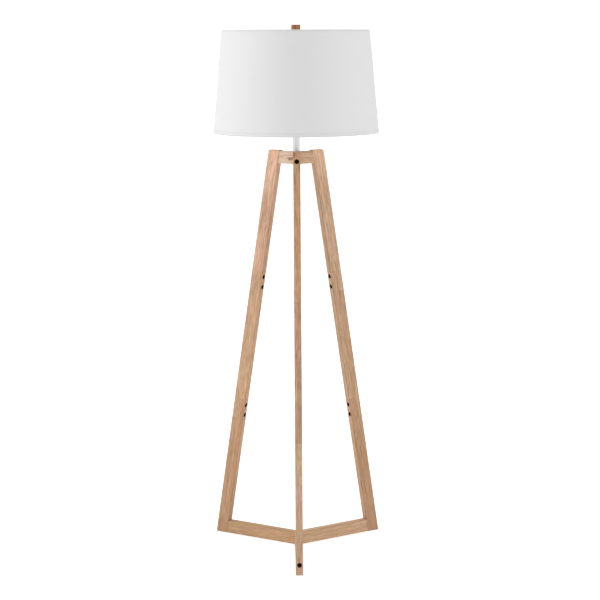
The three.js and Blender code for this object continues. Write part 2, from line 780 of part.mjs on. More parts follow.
function shadeSpider() {
  const washerTop = SPIDER_WASHER_BOTTOM + SPIDER_WASHER_THICKNESS;
  const washerBore = STUD_RADIUS + 0.5;
  let spider = tube(washerBore, SPIDER_WASHER_RADIUS, SPIDER_WASHER_BOTTOM, washerTop, 20);
  for (const azimuth of SPIDER_AZIMUTHS) {
    spider = spider.add(spiderArm(azimuth));
  }
  return spider;
}

function finial() {
  const bore = STUD_RADIUS + 0.4;
  const boreTop = STUD_TOP + 1;
  return revolve([
    [0, boreTop],
    [bore, boreTop],
    [bore, FINIAL_BOTTOM],
    [FINIAL_RADIUS - FINIAL_CHAMFER, FINIAL_BOTTOM],
    [FINIAL_RADIUS, FINIAL_BOTTOM + FINIAL_CHAMFER],
    [FINIAL_RADIUS, FINIAL_TOP - FINIAL_CHAMFER],
    [FINIAL_RADIUS - FINIAL_CHAMFER, FINIAL_TOP],
    [0, FINIAL_TOP],
  ], 24);
}

function shadeAssembly() {
  const shade = new THREE.Group();
  shade.add(piece('shade_cover', shadeCover(), linen));
  shade.add(piece('shade_spider', shadeSpider(), paintedMetal));
  shade.add(piece('shade_top_ring', shadeRing(SHADE_TOP - RING_INSET), paintedMetal));
  shade.add(piece('shade_bottom_ring', shadeRing(SHADE_BOTTOM + RING_INSET), paintedMetal));
  shade.add(piece('finial', finial(), finialWood));
  return shade;
}

// ---- The lamp ----

const lamp = new THREE.Group();
for (const name of Object.keys(LEG_AZIMUTHS)) {
  lamp.add(cFrame(name));
}
lamp.add(centreFoot(), pipeStack(), harpAssembly(), lampHolder(), shadeAssembly());

export default lamp;
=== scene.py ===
from math import atan2, copysign, cos, hypot, pi, radians, sin, sqrt

import bmesh
import bpy
import numpy as np
from mathutils import Matrix, Vector


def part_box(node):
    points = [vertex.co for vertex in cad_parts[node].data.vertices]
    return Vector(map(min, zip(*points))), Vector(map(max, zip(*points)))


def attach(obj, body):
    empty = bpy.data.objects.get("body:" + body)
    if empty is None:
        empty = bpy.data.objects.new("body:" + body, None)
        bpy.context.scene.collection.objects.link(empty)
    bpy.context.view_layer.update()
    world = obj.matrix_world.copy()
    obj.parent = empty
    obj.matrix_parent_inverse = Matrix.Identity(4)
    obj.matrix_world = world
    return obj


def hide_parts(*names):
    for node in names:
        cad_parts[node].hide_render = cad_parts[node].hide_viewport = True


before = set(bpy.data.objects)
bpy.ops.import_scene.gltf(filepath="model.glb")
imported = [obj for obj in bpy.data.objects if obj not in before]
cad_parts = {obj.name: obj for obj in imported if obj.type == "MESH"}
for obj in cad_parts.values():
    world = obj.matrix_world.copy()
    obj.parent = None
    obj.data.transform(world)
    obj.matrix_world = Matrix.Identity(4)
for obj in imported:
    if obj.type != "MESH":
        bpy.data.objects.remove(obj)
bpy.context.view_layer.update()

# The tripod floor lamp's looks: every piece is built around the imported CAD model, in metres,
# with +Z up and the front leg along -Y.

MM = 0.001

# ---- Dimensions shared with the CAD model ----

GAP = 0.3 * MM
LEG_AZIMUTHS = {"front": radians(-90), "right": radians(30), "left": radians(150)}
FOOT_RADIUS = 271 * MM
LEG_TOP_RADIUS = 83.3 * MM
LEG_TOP = 1131 * MM
LEAN = atan2(FOOT_RADIUS - LEG_TOP_RADIUS, LEG_TOP)
PLANK_WIDTH = 35 * MM
PLANK_THICKNESS = 19 * MM
ARM_TOP = 1128.4 * MM
ARM_HEIGHT = 34 * MM

BOLT_HEAD_RADIUS = 6.2 * MM
BOLT_HEAD_HEIGHT = 6 * MM
BOLT_SHANK_RADIUS = 3 * MM
BOLT_SOCKET_RADIUS = 2.9 * MM
BOLT_SOCKET_DEPTH = 3.2 * MM

PAD_LENGTH = 29 * MM
PAD_WIDTH = 15 * MM
PAD_THICKNESS = 1.2 * MM
CENTRE_PAD_RADIUS = 10 * MM

PIPE_RADIUS = 5 * MM
PIPE_BORE = 4 * MM
PIPE_BOTTOM = 1082 * MM
PIPE_TOP = 1230 * MM
PIPE_HOLE = 5.3 * MM
NECK_RADIUS = 10 * MM
NECK_WALL = 1.5 * MM
NECK_TOP = 1214 * MM
NUT_ACROSS_FLATS = 14 * MM

HARP_FOOT = 24 * MM
SHOULDER_TOP = 1239 * MM
POST_HEIGHT = 8 * MM
HARP_BOTTOM = SHOULDER_TOP + POST_HEIGHT + GAP
HARP_HALF_WIDTH = 54 * MM
HARP_WIDEST = 1345 * MM
HARP_TOP = 1438.5 * MM
HARP_WIRE_RADIUS = 1.9 * MM
HARP_SEAT_RADIUS = 7 * MM
STUD_RADIUS = 3.1 * MM
STUD_TOP = 1461 * MM
SLEEVE_RADIUS = 4 * MM
SLEEVE_BORE = 2.4 * MM
SLEEVE_LENGTH = 14 * MM

CAP_BOTTOM = 1220.9 * MM
CAP_RADIUS = 18.2 * MM
CAP_RIM = 1245 * MM
SHELL_RADIUS = 17 * MM
SHELL_WALL = 0.8 * MM
SHELL_BOTTOM = 1238.5 * MM
SHELL_TOP = 1281 * MM
SOCKET_FLOOR = 1262 * MM
SOCKET_BORE = 13.8 * MM
KEY_HEIGHT = 1252 * MM
KEY_SHAFT_RADIUS = 2 * MM
KEY_REACH = 27 * MM
KNOB_LENGTH = 10 * MM

BULB_BOTTOM = 1264.3 * MM
BULB_HEIGHT = 108 * MM
BULB_RADIUS = 30 * MM
BULB_BASE_RADIUS = 13 * MM
BULB_BASE_HEIGHT = 26 * MM

SHADE_TOP = 1458.8 * MM
SHADE_BOTTOM = 1180.5 * MM
SHADE_TOP_RADIUS = 202.1 * MM
SHADE_BOTTOM_RADIUS = 228.6 * MM
SHADE_WALL = 1.2 * MM
RING_RADIUS = 1.6 * MM
RING_INSET = 2.6 * MM
SPIDER_WIRE_RADIUS = 1.5 * MM
SPIDER_DROP_LENGTH = 24 * MM
WASHER_BOTTOM = 1445.2 * MM
WASHER_THICKNESS = 2 * MM
WASHER_RADIUS = 12 * MM
SPIDER_AZIMUTHS = (90, 210, 330)

FINIAL_RADIUS = 12.2 * MM
FINIAL_BOTTOM = 1448.3 * MM
FINIAL_TOP = 1473 * MM

# ---- Mesh building ----

SMOOTH_ANGLE = radians(38)


def add_object(name, data):
    obj = bpy.data.objects.new(name, data)
    bpy.context.scene.collection.objects.link(obj)
    return obj


def add_piece(name, mesh, look, node=None, body="stand"):
    """A piece with a look, which is a slot and a material, and the CAD node it stands for, which is
    hidden. The look's slot is not used.
    """
    slot, material = look
    piece = add_object(name, mesh)
    mesh.materials.clear()
    mesh.materials.append(material)
    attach(piece, body)
    if node:
        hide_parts(node)
    return piece


def smooth(mesh):
    mesh.shade_smooth()
    mesh.set_sharp_from_angle(angle=SMOOTH_ANGLE)
    return mesh


def mesh_of(bm):
    bmesh.ops.recalc_face_normals(bm, faces=bm.faces)
    mesh = bpy.data.meshes.new("piece")
    bm.to_mesh(mesh)
    bm.free()
    return smooth(mesh)


def evenly(start, end, steps):
    return [start + (end - start) * i / steps for i in range(steps + 1)]


def turns(count):
    """Angles evenly round a full turn."""
    return [2 * pi * i / count for i in range(count)]


def skin(bm, rings, loop=False):
    """Faces between each ring of points and the next. A ring of one point is a pole."""
    rows = [[bm.verts.new(point) for point in ring] for ring in rings]
    pairs = list(zip(rows, rows[1:]))
    if loop:
        pairs.append((rows[-1], rows[0]))
    for low, high in pairs:
        count = max(len(low), len(high))
        for i in range(count):
            j = (i + 1) % count
            corners = [low[i % len(low)], low[j % len(low)], high[j % len(high)], high[i % len(high)]]
            bm.faces.new(dict.fromkeys(corners))


def about_z(reach, angle, height=0):
    return Vector((reach * cos(angle), reach * sin(angle), height))


def ring_points(radius, height, segments):
    """A ring about Z. The radius is a number, or a function of the angle and the height."""
    if callable(radius):
        return [about_z(radius(angle, height), angle, height) for angle in turns(segments)]
    return [about_z(radius, angle, height) for angle in turns(segments)]


def turned(bm, profile, segments=96, loop=False, ease=0.0, steps=3):
    """A profile of (radius, height) points turned about Z, with its corners eased. Radius 0 is
    a point on the axis."""
    if ease:
        profile = eased(profile, ease, loop, steps)
    rings = []
    for radius, height in profile:
        on_axis = not callable(radius) and radius < 1e-9
        rings.append([Vector((0, 0, height))] if on_axis else ring_points(radius, height, segments))
    skin(bm, rings, loop)


def lathe(profile, *segments, **options):
    bm = bmesh.new()
    turned(bm, profile, *segments, **options)
    return mesh_of(bm)


def wall(inner, outer, low, high):
    """The profile of a tube, or of a rod where the inner radius is 0."""
    return [(inner, low), (outer, low), (outer, high), (inner, high)]


def eased(points, radius, loop=False, steps=3):
    """The same outline with its corners rounded by up to this radius."""
    out = []
    for i, point in enumerate(points):
        if not loop and i in (0, len(points) - 1):
            out.append(tuple(point))
            continue
        corner = Vector(point)
        before = Vector(points[i - 1]) - corner
        after = Vector(points[(i + 1) % len(points)]) - corner
        reach = min(radius, before.length * 0.45, after.length * 0.45)
        start = corner + before.normalized() * reach
        end = corner + after.normalized() * reach
        for t in evenly(0, 1, steps):
            out.append(tuple(start * (1 - t) ** 2 + corner * 2 * t * (1 - t) + end * t * t))
    return out


def bezier(points, steps):
    a, b, c, d = (Vector(point) for point in points)
    curve = []
    for t in evenly(0, 1, steps):
        s = 1 - t
        curve.append(a * s**3 + b * 3 * s * s * t + c * 3 * s * t * t + d * t**3)
    return curve


def wire(bm, path, radius, sides=16):
    """A round wire along a path of points, with domed ends."""
    points = [Vector(point) for point in path]
    last = len(points) - 1
    tangents = []
    for i in range(last + 1):
        tangents.append((points[min(i + 1, last)] - points[max(i - 1, 0)]).normalized())
    normal = tangents[0].orthogonal().normalized()
    dome = radius * 0.9

    def ring(centre, tangent, reach):
        side = tangent.cross(normal)
        return [centre + reach * (cos(t) * normal + sin(t) * side) for t in turns(sides)]

    def dome_ring(end, outward, degrees):
        angle = radians(degrees)
        centre = points[end] + outward * tangents[end] * dome * sin(angle)
        return ring(centre, tangents[end], radius * cos(angle))

    rings = [[points[0] - tangents[0] * dome], dome_ring(0, -1, 60), dome_ring(0, -1, 30)]
    for i, point in enumerate(points):
        if i:
            normal = tangents[i - 1].rotation_difference(tangents[i]) @ normal
        rings.append(ring(point, tangents[i], radius))
    rings += [dome_ring(last, 1, 30), dome_ring(last, 1, 60), [points[last] + tangents[last] * dome]]
    skin(bm, rings)


def hexagon(across_flats):
    """The radius of a hexagon as a function of the angle."""
    sector = radians(60)

    def radius(angle, _height):
        return across_flats / 2 / cos((angle + sector / 2) % sector - sector / 2)
    return radius


def thread(radius, depth, pitch, low, high):
    """The radius of a screw thread as a function of angle and height, plain outside low to high."""
    def at(angle, height):
        phase = (height / pitch - angle / (2 * pi)) * 2 * pi
        fade = min(1, max(0, (height - low) / pitch), max(0, (high - height) / pitch))
        return radius - depth * fade * (0.5 - 0.5 * cos(phase))
    return at


def seated(top, axis):
    """The move that takes the origin to a point and +Z to an axis."""
    turn = Vector((0, 0, 1)).rotation_difference(axis).to_matrix().to_4x4()
    return Matrix.Translation(top) @ turn


def evaluated(piece):
    """The piece's mesh with its modifiers applied."""
    bpy.context.view_layer.update()
    graph = bpy.context.evaluated_depsgraph_get()
    return bpy.data.meshes.new_from_object(piece.evaluated_get(graph), depsgraph=graph)


def modify(obj, name, kind, **settings):
    modifier = obj.modifiers.new(name, kind)
    for key, value in settings.items():
        setattr(modifier, key, value)


def cut(mesh, cutter):
    """The mesh less the cutter's volume."""
    target = add_object("cut_target", mesh)
    tool = add_object("cut_tool", cutter)
    modify(target, "Cut", "BOOLEAN", operation="DIFFERENCE", solver="EXACT", object=tool)
    result = evaluated(target)
    for obj in (target, tool):
        bpy.data.objects.remove(obj)
    return smooth(result)


# ---- Node materials ----

class Finish:
    """A material under construction: short calls that add nodes and return their outputs."""

    def __init__(self, name):
        self.material = bpy.data.materials.new(name)
        self.material.use_nodes = True
        self.nodes = self.material.node_tree.nodes
        self.links = self.material.node_tree.links
        self.shader = self.nodes["Principled BSDF"]

    def feed(self, socket, value):
        if isinstance(value, bpy.types.NodeSocket):
            self.links.new(value, socket)
        else:
            socket.default_value = value

    def node(self, kind, *values, named=None, **settings):
        """A node with its settings, and values for its inputs in order or by name."""
        node = self.nodes.new("ShaderNode" + kind)
        for key, value in settings.items():
            setattr(node, key, value)
        for key, value in (*enumerate(values), *(named or {}).items()):
            self.feed(node.inputs[key], value)
        return node

    def finished(self, **values):
        """The material, with values or outputs for its shader's sockets, such as Base_Color."""
        for key, value in values.items():
            self.feed(self.shader.inputs[key.replace("_", " ")], value)
        return self.material

    def place(self, output="Object"):
        return self.node("TexCoord").outputs[output]

    def math(self, operation, *values):
        return self.node("Math", *values, operation=operation).outputs[0]

    def times(self, first, second):
        return self.math("MULTIPLY", first, second)

    def plus(self, value, part, weight):
        """The value plus a weighted part."""
        return self.math("MULTIPLY_ADD", part, weight, value)

    def vary(self, value, *parts):
        """The value raised and lowered by parts from 0 to 1, each given with its weight."""
        for part, weight in parts:
            value = self.plus(value, self.math("SUBTRACT", part, 0.5), weight)
        return value

    def vector(self, operation, *values):
        node = self.node("VectorMath", *values, operation=operation)
        return node.outputs["Value" if operation == "LENGTH" else "Vector"]

    def scaled(self, vector, value):
        """A vector or a colour times a value."""
        return self.node("VectorMath", vector, named={"Scale": value},
                         operation="SCALE").outputs[0]

    def split(self, vector):
        return self.node("SeparateXYZ", vector).outputs

    def join(self, x, y, z):
        return self.node("CombineXYZ", x, y, z).outputs[0]

    def noise(self, vector, scale, seed, detail=2.0, roughness=0.5, output=0):
        """Noise over a vector. The scale is its features per metre, or three for its axes."""
        scale = scale if isinstance(scale, tuple) else (scale,) * 3
        node = self.node("TexNoise", noise_dimensions="4D", named={
            "Vector": self.vector("MULTIPLY", vector, scale),
            "W": seed,
            "Scale": 1.0,
            "Detail": detail,
            "Roughness": roughness,
        })
        return node.outputs[output]

    def noises(self, vector, *settings):
        return [self.noise(vector, *setting) for setting in settings]

    def sway(self, vector, scale, seed, reach):
        """Noise that moves each axis of the vector to and fro by half its reach."""
        noise = self.noise(vector, scale, seed, detail=1.0, output="Color")
        return self.vector("MULTIPLY", self.vector("SUBTRACT", noise, (0.5, 0.5, 0.5)), reach)

    def fit(self, value, low, high, to_low=0.0, to_high=1.0, curve="SMOOTHSTEP"):
        return self.node("MapRange", value, low, high, to_low, to_high,
                         interpolation_type=curve).outputs[0]

    def mix(self, factor, first, second):
        named = {"Factor": factor, 6: rgba(first), 7: rgba(second)}
        return self.node("Mix", named=named, data_type="RGBA").outputs[2]

    def bump(self, height, distance, strength=0.5):
        named = {"Strength": strength, "Distance": distance, "Height": height}
        return self.node("Bump", named=named).outputs[0]


def rgba(colour):
    if isinstance(colour, bpy.types.NodeSocket) or len(colour) == 4:
        return colour
    return (*colour, 1.0)


def shifted(colour, factor):
    return tuple(channel * factor for channel in colour)


# ---- Timber ----

EASED_TONE = 0.78              # rounded edges are darker
END_GRAIN_TONE = 0.5
MARGIN_TONE = 0.88             # a little darker along a plank's edges
MARGIN_WIDTH = 2.6 * MM
DARKEST_TONE = 0.2
TONE_DEPTH = (1.0, 1.2, 1.5)   # how fast red, green and blue fall as the wood darkens
RING_SPACING = 2.6 * MM
PITH_ACROSS = 70 * MM
PITH_DEPTH = 34 * MM
EARLY_WOOD = -0.07             # how much these parts lighten or darken the wood
LATE_WOOD = -0.16
PORES = -0.42
PINK_TINT = (1.035, 0.965, 1.02)
OLIVE_TINT = (0.985, 1.005, 0.89)
KNOT_TONE = (0.36, 0.2, 0.13)
KNOT_OPACITY = 0.9
# Each layer of the grain: features per metre along and across it, octaves, and strength.
GRAIN_LAYERS = (
    ((30, 2600), 2.0, 0.34),   # fibres
    ((40, 330), 2.0, 0.95),    # flecks
    ((9, 210), 3.0, 0.80),     # streaks
    ((1.8, 80), 2.0, 0.38),    # bands
    ((4, 14), 2.0, 0.35),      # the slow change of tone along a board
)


def timber(name, centre, rotation, tone, seed, knots=(), contrast=1.0, run_out=0.0, **plank):
    """Straight-grained oak. centre is a point on the plank's middle line, rotation turns X to
    the grain, each knot is a place and a size in metres from centre, and run_out is the slope
    of the grain to the plank's edge. What else is given describes the plank's faces."""
    oak = Finish(name)
    place = in_plank_frame(oak, oak.place(), rotation, centre)
    grain, dark_knots = bent_round_knots(oak, place, knots, seed)
    if run_out:
        x, y, z = oak.split(grain)
        grain = oak.join(x, oak.plus(y, x, run_out), z)
    value, pores, late_wood, layers = grain_pattern(oak, grain, seed, contrast)
    value = face_tones(oak, value, place, rotation, **plank)

    hue = oak.fit(oak.noise(grain, (14, 260, 260), seed + 11.4), 0.34, 0.66)
    tint = oak.split(oak.mix(hue, PINK_TINT, OLIVE_TINT))
    channels = []
    for channel, (part, depth) in enumerate(zip(tone, TONE_DEPTH)):
        shade = oak.times(oak.math("POWER", value, depth), part)
        channels.append(oak.times(shade, tint[channel]))
    colour = oak.join(*channels)
    if knots:
        brown = tuple(part * knot for part, knot in zip(tone, KNOT_TONE))
        colour = oak.mix(oak.times(dark_knots, KNOT_OPACITY), colour, brown)

    fibres, flecks, streaks = layers[:3]
    roughness = oak.vary(0.56, (streaks, 0.3), (flecks, 0.2))
    relief = oak.plus(oak.times(fibres, 0.25), pores, -1.0)
    relief = oak.plus(relief, late_wood, 0.3)
    return oak.finished(
        Base_Color=colour,
        Roughness=oak.plus(roughness, pores, 0.2),
        Normal=oak.bump(relief, 0.16 * MM, 0.6),
        Specular_IOR_Level=0.35,
        Coat_Weight=0.06,
        Coat_Roughness=0.35,
    )


def in_plank_frame(oak, vector, rotation, centre=(0, 0, 0)):
    """A place or a direction in the plank's own frame, with X along the grain."""
    return oak.node("Mapping", vector, centre, rotation, vector_type="TEXTURE").outputs[0]


def grain_pattern(oak, grain, seed, contrast):
    """How light the grain is at each point, its pores, its late wood, and its noise layers."""
    rings = oak.math("DIVIDE", distance_from_pith(oak, grain, seed), RING_SPACING)
    uneven = oak.noise(grain, (0.5, 60, 60), seed + 3.1, detail=1.0)
    phase = oak.math("FRACT", oak.plus(rings, uneven, 3.0))
    early_wood = oak.times(oak.fit(phase, 0.0, 0.12), oak.fit(phase, 0.62, 0.2))
    late_wood = oak.fit(phase, 0.8, 0.99)
    pores = oak.fit(oak.noise(grain, (42, 1500, 1500), seed + 13.6, detail=1.0), 0.56, 0.68)
    pores = oak.times(pores, oak.fit(early_wood, 0.0, 1.0, 0.35, 1.0))
    value = 1.0
    layers = []
    for number, ((along, across), octaves, strength) in enumerate(GRAIN_LAYERS):
        layer = oak.noise(grain, (along, across, across), seed + 2.3 * number, octaves, 0.55)
        layers.append(layer)
        value = oak.vary(value, (layer, strength * contrast))
    value = oak.plus(value, early_wood, EARLY_WOOD * contrast)
    value = oak.plus(value, late_wood, LATE_WOOD * contrast)
    return oak.plus(value, pores, PORES), pores, late_wood, layers


def face_tones(oak, value, place, rotation, half=None, edge_tone=1.0, drift=None):
    """The value made darker on end grain and eased edges. half is half the plank's size in Y
    and Z, the narrow faces' factor paints light and shade on its two narrow faces (above 1 a
    painted highlight, below 1 painted shade), and drift is the two ends of its length and their tones."""
    normal = in_plank_frame(oak, oak.place("Normal"), rotation)
    facing = [oak.math("ABSOLUTE", part) for part in oak.split(normal)]
    value = oak.times(value, oak.fit(facing[0], 0.55, 0.85, 1.0, END_GRAIN_TONE))
    on_edge = oak.node("Attribute", attribute_name="eased").outputs["Fac"]
    value = oak.times(value, oak.fit(on_edge, 0.0, 1.0, 1.0, EASED_TONE))
    x, y, z = oak.split(place)
    if half:
        # Painted light and shade: the narrow faces are made lighter or darker than the wide faces.
        value = oak.times(value, oak.fit(facing[2], 0.7, 0.9, 1.0, edge_tone))
        from_side = oak.math("SUBTRACT", half[0], oak.math("ABSOLUTE", y))
        from_edge = oak.math("SUBTRACT", half[1], oak.math("ABSOLUTE", z))
        margin = oak.math("MAXIMUM", from_side, from_edge)
        value = oak.times(value, oak.fit(margin, 0.0, MARGIN_WIDTH, MARGIN_TONE, 1.0))
    if drift:
        (low, high), (low_tone, high_tone) = drift
        value = oak.times(value, oak.fit(x, low, high, low_tone, high_tone, "LINEAR"))
    return oak.math("MAXIMUM", value, DARKEST_TONE)


def distance_from_pith(oak, grain, seed):
    """How far a point is from the tree's middle, with a little sway along the board."""
    sway = oak.sway(grain, (1.3, 9, 9), seed, (0, 0.02, 0.02))
    side = 1 if int(seed * 10) % 2 else -1
    pith = (0, side * PITH_ACROSS * (1 + 0.3 * sin(seed)), PITH_DEPTH)
    from_pith = oak.vector("SUBTRACT", oak.vector("ADD", grain, sway), pith)
    return oak.vector("LENGTH", oak.vector("MULTIPLY", from_pith, (0.004, 1, 1)))


def bent_round_knots(oak, grain, knots, seed):
    """The grain pushed aside around each knot, and how dark the knots make each point."""
    dark = 0.0
    for place, size in knots:
        offset = oak.vector("SUBTRACT", grain, place)
        reach = oak.vector("LENGTH", oak.vector("MULTIPLY", offset, (0.55, 1, 1)))
        rough = oak.noise(grain, (260, 420, 420), seed + size * 1000, 3.0, 0.65)
        heart = oak.vary(reach, (rough, size * 2.6))
        dark = oak.math("MAXIMUM", dark, oak.fit(heart, size * 1.25, size * 0.35))
        push = oak.fit(reach, size * 3.2, 0.0, 0.0, 0.6)
        grain = oak.vector("SUBTRACT", grain, oak.scaled(offset, push))
    return grain, dark


# ---- Fabric, metals, plastics ----

THREAD_PITCH = 0.62 * MM
THREAD_WOBBLE = 0.5 * MM
BOTTOM_BAND = 10 * MM         # height of the trim round the bottom edge
TOP_BAND = 5 * MM
# How far the painted shade along each trim line fades out.
PAINTED_SHADE_FADE = 1 * MM
SHADE_MEAN_RADIUS = 215 * MM


def shade_weave(name, colour, relief=1.0, painted_shade_lines=()):
    """A fine plain weave that follows the drum round, with slubs in both directions. Each painted
    shade line is a height, the side of it (1 above, -1 below) where the cloth is painted darker, and
    its tone."""
    cloth = Finish(name)
    x, y, z = cloth.split(cloth.place())
    around = cloth.times(cloth.math("ARCTAN2", y, x), SHADE_MEAN_RADIUS)
    flat = cloth.join(around, z, 0.0)
    wobble = cloth.sway(flat, (120, 120, 1), 2.0, (THREAD_WOBBLE,) * 3)
    u, v, _ = cloth.split(cloth.vector("ADD", flat, wobble))
    u, v = (cloth.times(along, pi / THREAD_PITCH) for along in (u, v))
    over = cloth.times(cloth.math("SINE", u), cloth.math("SINE", v))
    warp, weft = (cloth.math("ABSOLUTE", cloth.math("COSINE", along)) for along in (u, v))
    on_top = cloth.plus(0.5, over, 0.5)
    below = cloth.math("SUBTRACT", 1.0, on_top)
    height = cloth.math("MAXIMUM", cloth.times(warp, on_top), cloth.times(weft, below))
    slub_across, slub_up, cloud = cloth.noises(
        flat, ((16, 1100, 1), 4.0), ((1100, 14, 1), 6.0), ((18, 18, 1), 8.0))
    # Slubs and cloud are the yarn's own tone; the weave's height term is painted shade, darker in the
    # grooves between threads.
    value = cloth.vary(0.985, (slub_across, 0.05), (slub_up, 0.04), (cloud, 0.012), (height, 0.03))
    # Painted shade: the cloth made darker on one side of each given height.
    for shaded_height, side, tone in painted_shade_lines:
        value = cloth.times(value, cloth.fit(z, shaded_height + side * PAINTED_SHADE_FADE, shaded_height, tone, 1.0))
    slubs = cloth.math("ADD", cloth.fit(slub_across, 0.5, 0.8), cloth.fit(slub_up, 0.52, 0.8))
    dye = cloth.mix(cloth.fit(cloud, 0.3, 0.7), colour, shifted(colour, 0.996))
    return cloth.finished(
        Base_Color=cloth.scaled(dye, value),
        Roughness=cloth.fit(height, 0.0, 1.0, 0.95, 0.85),
        Normal=cloth.bump(cloth.plus(height, slubs, 0.6), 0.1 * MM * relief),
        Specular_IOR_Level=0.08,
    )


def liner_film(name, colour):
    """The stiff white film that the fabric is laminated to: smooth, with a faint orange peel."""
    film = Finish(name)
    peel, cloud = film.noises(film.place(), (900, 1.0), (14, 3.0))
    return film.finished(
        Base_Color=film.mix(cloud, colour, shifted(colour, 0.985)),
        Roughness=film.fit(cloud, 0.2, 0.8, 0.42, 0.52),
        Normal=film.bump(peel, 0.03 * MM),
    )


def metal(name, colour, worn, roughness, scratch_scale, variation, relief, rim=(1, 1, 1, 1)):
    """Plated or oxidised metal with drawn marks along the scale's long axis. rim is its tint at
    a grazing angle."""
    plate = Finish(name)
    marks, cloud, specks = plate.noises(
        plate.place(), (scratch_scale, 1.0, 3.0, 0.65), (45, 2.0, 3.0), (700, 5.0, 1.0))
    tint = plate.mix(plate.fit(specks, 0.66, 0.8), colour, worn)
    return plate.finished(
        Base_Color=plate.scaled(tint, plate.vary(1.0, (cloud, variation), (marks, variation * 0.6))),
        Metallic=1.0,
        Specular_Tint=rim,
        Roughness=plate.vary(roughness, (marks, 0.22), (cloud, 0.16)),
        Normal=plate.bump(marks, relief),
    )


def coat(name, colour, roughness, peel=700, relief=0.02, variation=0.04, gloss=0.0, specular=0.5):
    """Paint, powder coat or moulded plastic: an even colour with a fine surface texture."""
    paint = Finish(name)
    bumps, cloud, grime = paint.noises(paint.place(), (peel, 1.0), (30, 2.0), (160, 4.0, 3.0))
    grime = paint.fit(grime, 0.55, 0.8)
    value = paint.plus(paint.vary(1.0, (cloud, variation)), grime, -variation * 0.5)
    return paint.finished(
        Base_Color=paint.scaled(paint.mix(grime, colour, shifted(colour, 0.97)), value),
        Roughness=paint.vary(roughness, (bumps, 0.14)),
        Normal=paint.bump(bumps, relief * MM),
        Coat_Weight=gloss,
        Specular_IOR_Level=specular,
    )


def pressed_felt(name, colour):
    felt = Finish(name)
    fibres, tufts = felt.noises(felt.place(), (1800, 1.0, 4.0, 0.75), (380, 3.0, 3.0))
    tint = felt.mix(tufts, colour, shifted(colour, 0.9))
    return felt.finished(
        Base_Color=felt.scaled(tint, felt.vary(1.0, (fibres, 0.5), (tufts, 0.2))),
        Roughness=felt.fit(fibres, 0.2, 0.8, 0.9, 1.0),
        Normal=felt.bump(fibres, 0.25 * MM, 0.8),
        Sheen_Weight=0.4,
        Sheen_Roughness=0.6,
        Specular_IOR_Level=0.15,
    )


def frosted(name, colour):
    glass = Finish(name)
    frost, cloud = glass.noises(glass.place(), (2200, 1.0), (40, 2.0))
    return glass.finished(
        Base_Color=glass.mix(glass.fit(cloud, 0.3, 0.7), colour, shifted(colour, 0.985)),
        Roughness=glass.fit(frost, 0.3, 0.7, 0.28, 0.38),
        Normal=glass.bump(frost, 0.01 * MM, 0.4),
        Subsurface_Weight=0.25,
        Subsurface_Scale=0.004,
        Coat_Weight=0.15,
    )


# Each look is a slot and its material.
WHITE_CLOTH = (0.74, 0.74, 0.74)
OFF_WHITE = (0.86, 0.86, 0.85)
# Painted shade on the trims: the cloth is darker below a line near the bottom edge, where the roll
# turns under, above a line near the top rim, and above a line near the upper edge of the bottom band.
# Each is a height, the side of it that is darker (1 above, -1 below), and its tone.
TRIM_PAINTED_SHADE_LINES = (
    (SHADE_BOTTOM + 2.4 * MM, -1, 0.81),
    (SHADE_TOP - 4 * MM, 1, 0.97),
    (SHADE_BOTTOM + BOTTOM_BAND - 2 * MM, 1, 0.96),
)
FABRIC = "shade_fabric", shade_weave("shade_fabric_weave", WHITE_CLOTH)
TRIM = "shade_fabric", shade_weave("shade_trim_weave", shifted(WHITE_CLOTH, 0.985), 1.2, TRIM_PAINTED_SHADE_LINES)
LINER = "shade_fabric", liner_film("shade_liner_film", OFF_WHITE)
BLACK_STEEL = "black_steel", metal(
    "black_oxide_steel", (0.017, 0.009, 0.008), (0.04, 0.034, 0.031), 0.6, 300, 0.3, 0.01 * MM,
    rim=(0.35, 0.3, 0.28, 1))
ZINC = "zinc_steel", metal(
    "zinc_plated_steel", (0.68, 0.69, 0.7), (0.5, 0.51, 0.52), 0.3, (90, 90, 1400), 0.08, 0.008 * MM)
BRASS = "brass", metal(
    "brass_plate", (0.79, 0.63, 0.34), (0.55, 0.42, 0.2), 0.27, (70, 70, 1500), 0.08, 0.008 * MM)
NECK_PAINT = "painted_neck", coat("neck_satin_paint", (0.73, 0.728, 0.744), 0.6, specular=0.2)
WIRE_COAT = "shade_wire", coat("shade_powder_coat", OFF_WHITE, 0.5, peel=1100, relief=0.04)
IVORY = "insulator", coat("socket_insulator", (0.86, 0.83, 0.76), 0.3, relief=0.01, gloss=0.2)
BLACK_PLASTIC = "black_plastic", coat(
    "moulded_black_plastic", (0.025, 0.025, 0.026), 0.45, peel=1500, relief=0.03, variation=0.2)
BULB_PLASTIC = "bulb", coat("bulb_collar_plastic", (0.84, 0.84, 0.82), 0.35, relief=0.01)
FROST = "bulb", frosted("bulb_frosted_diffuser", (0.9, 0.9, 0.88))
FELT = "felt", pressed_felt("pressed_felt", (0.62, 0.58, 0.52))

# ---- The timber frame ----

JOINT_CLOSING = 0.14 * MM     # each face moves out by this, which closes the CAD model's clearances
EASE = 0.8 * MM               # rounding along a plank's long edges
FINE_EASE = 0.6               # of that at ends and joints
LONG_EDGE = 70 * MM
HOLE_ROOM = GAP + 0.05 * MM   # what a bolt's hole is wider by than the bolt
SAME_POINT = 1e-6


def corner_points(node):
    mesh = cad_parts[node].data
    points = np.array([vertex.co for vertex in mesh.vertices])
    return np.unique(points.round(6), axis=0)


def bolt_place(node):
    """The centre of a bolt's head face, the direction out of the head, and the length."""
    points = corner_points(node)
    middle = points.mean(axis=0)
    _, directions = np.linalg.eigh(np.cov((points - middle).T))
    axis = directions[:, 2]
    along = (points - middle) @ axis
    off_axis = np.linalg.norm((points - middle) - np.outer(along, axis), axis=1)
    if along[off_axis > 1.5 * BOLT_SHANK_RADIUS].mean() < along.mean():
        axis, along = -axis, -along
    length = along.max() - along.min()
    return Vector(middle + axis * along.max()), Vector(axis), length


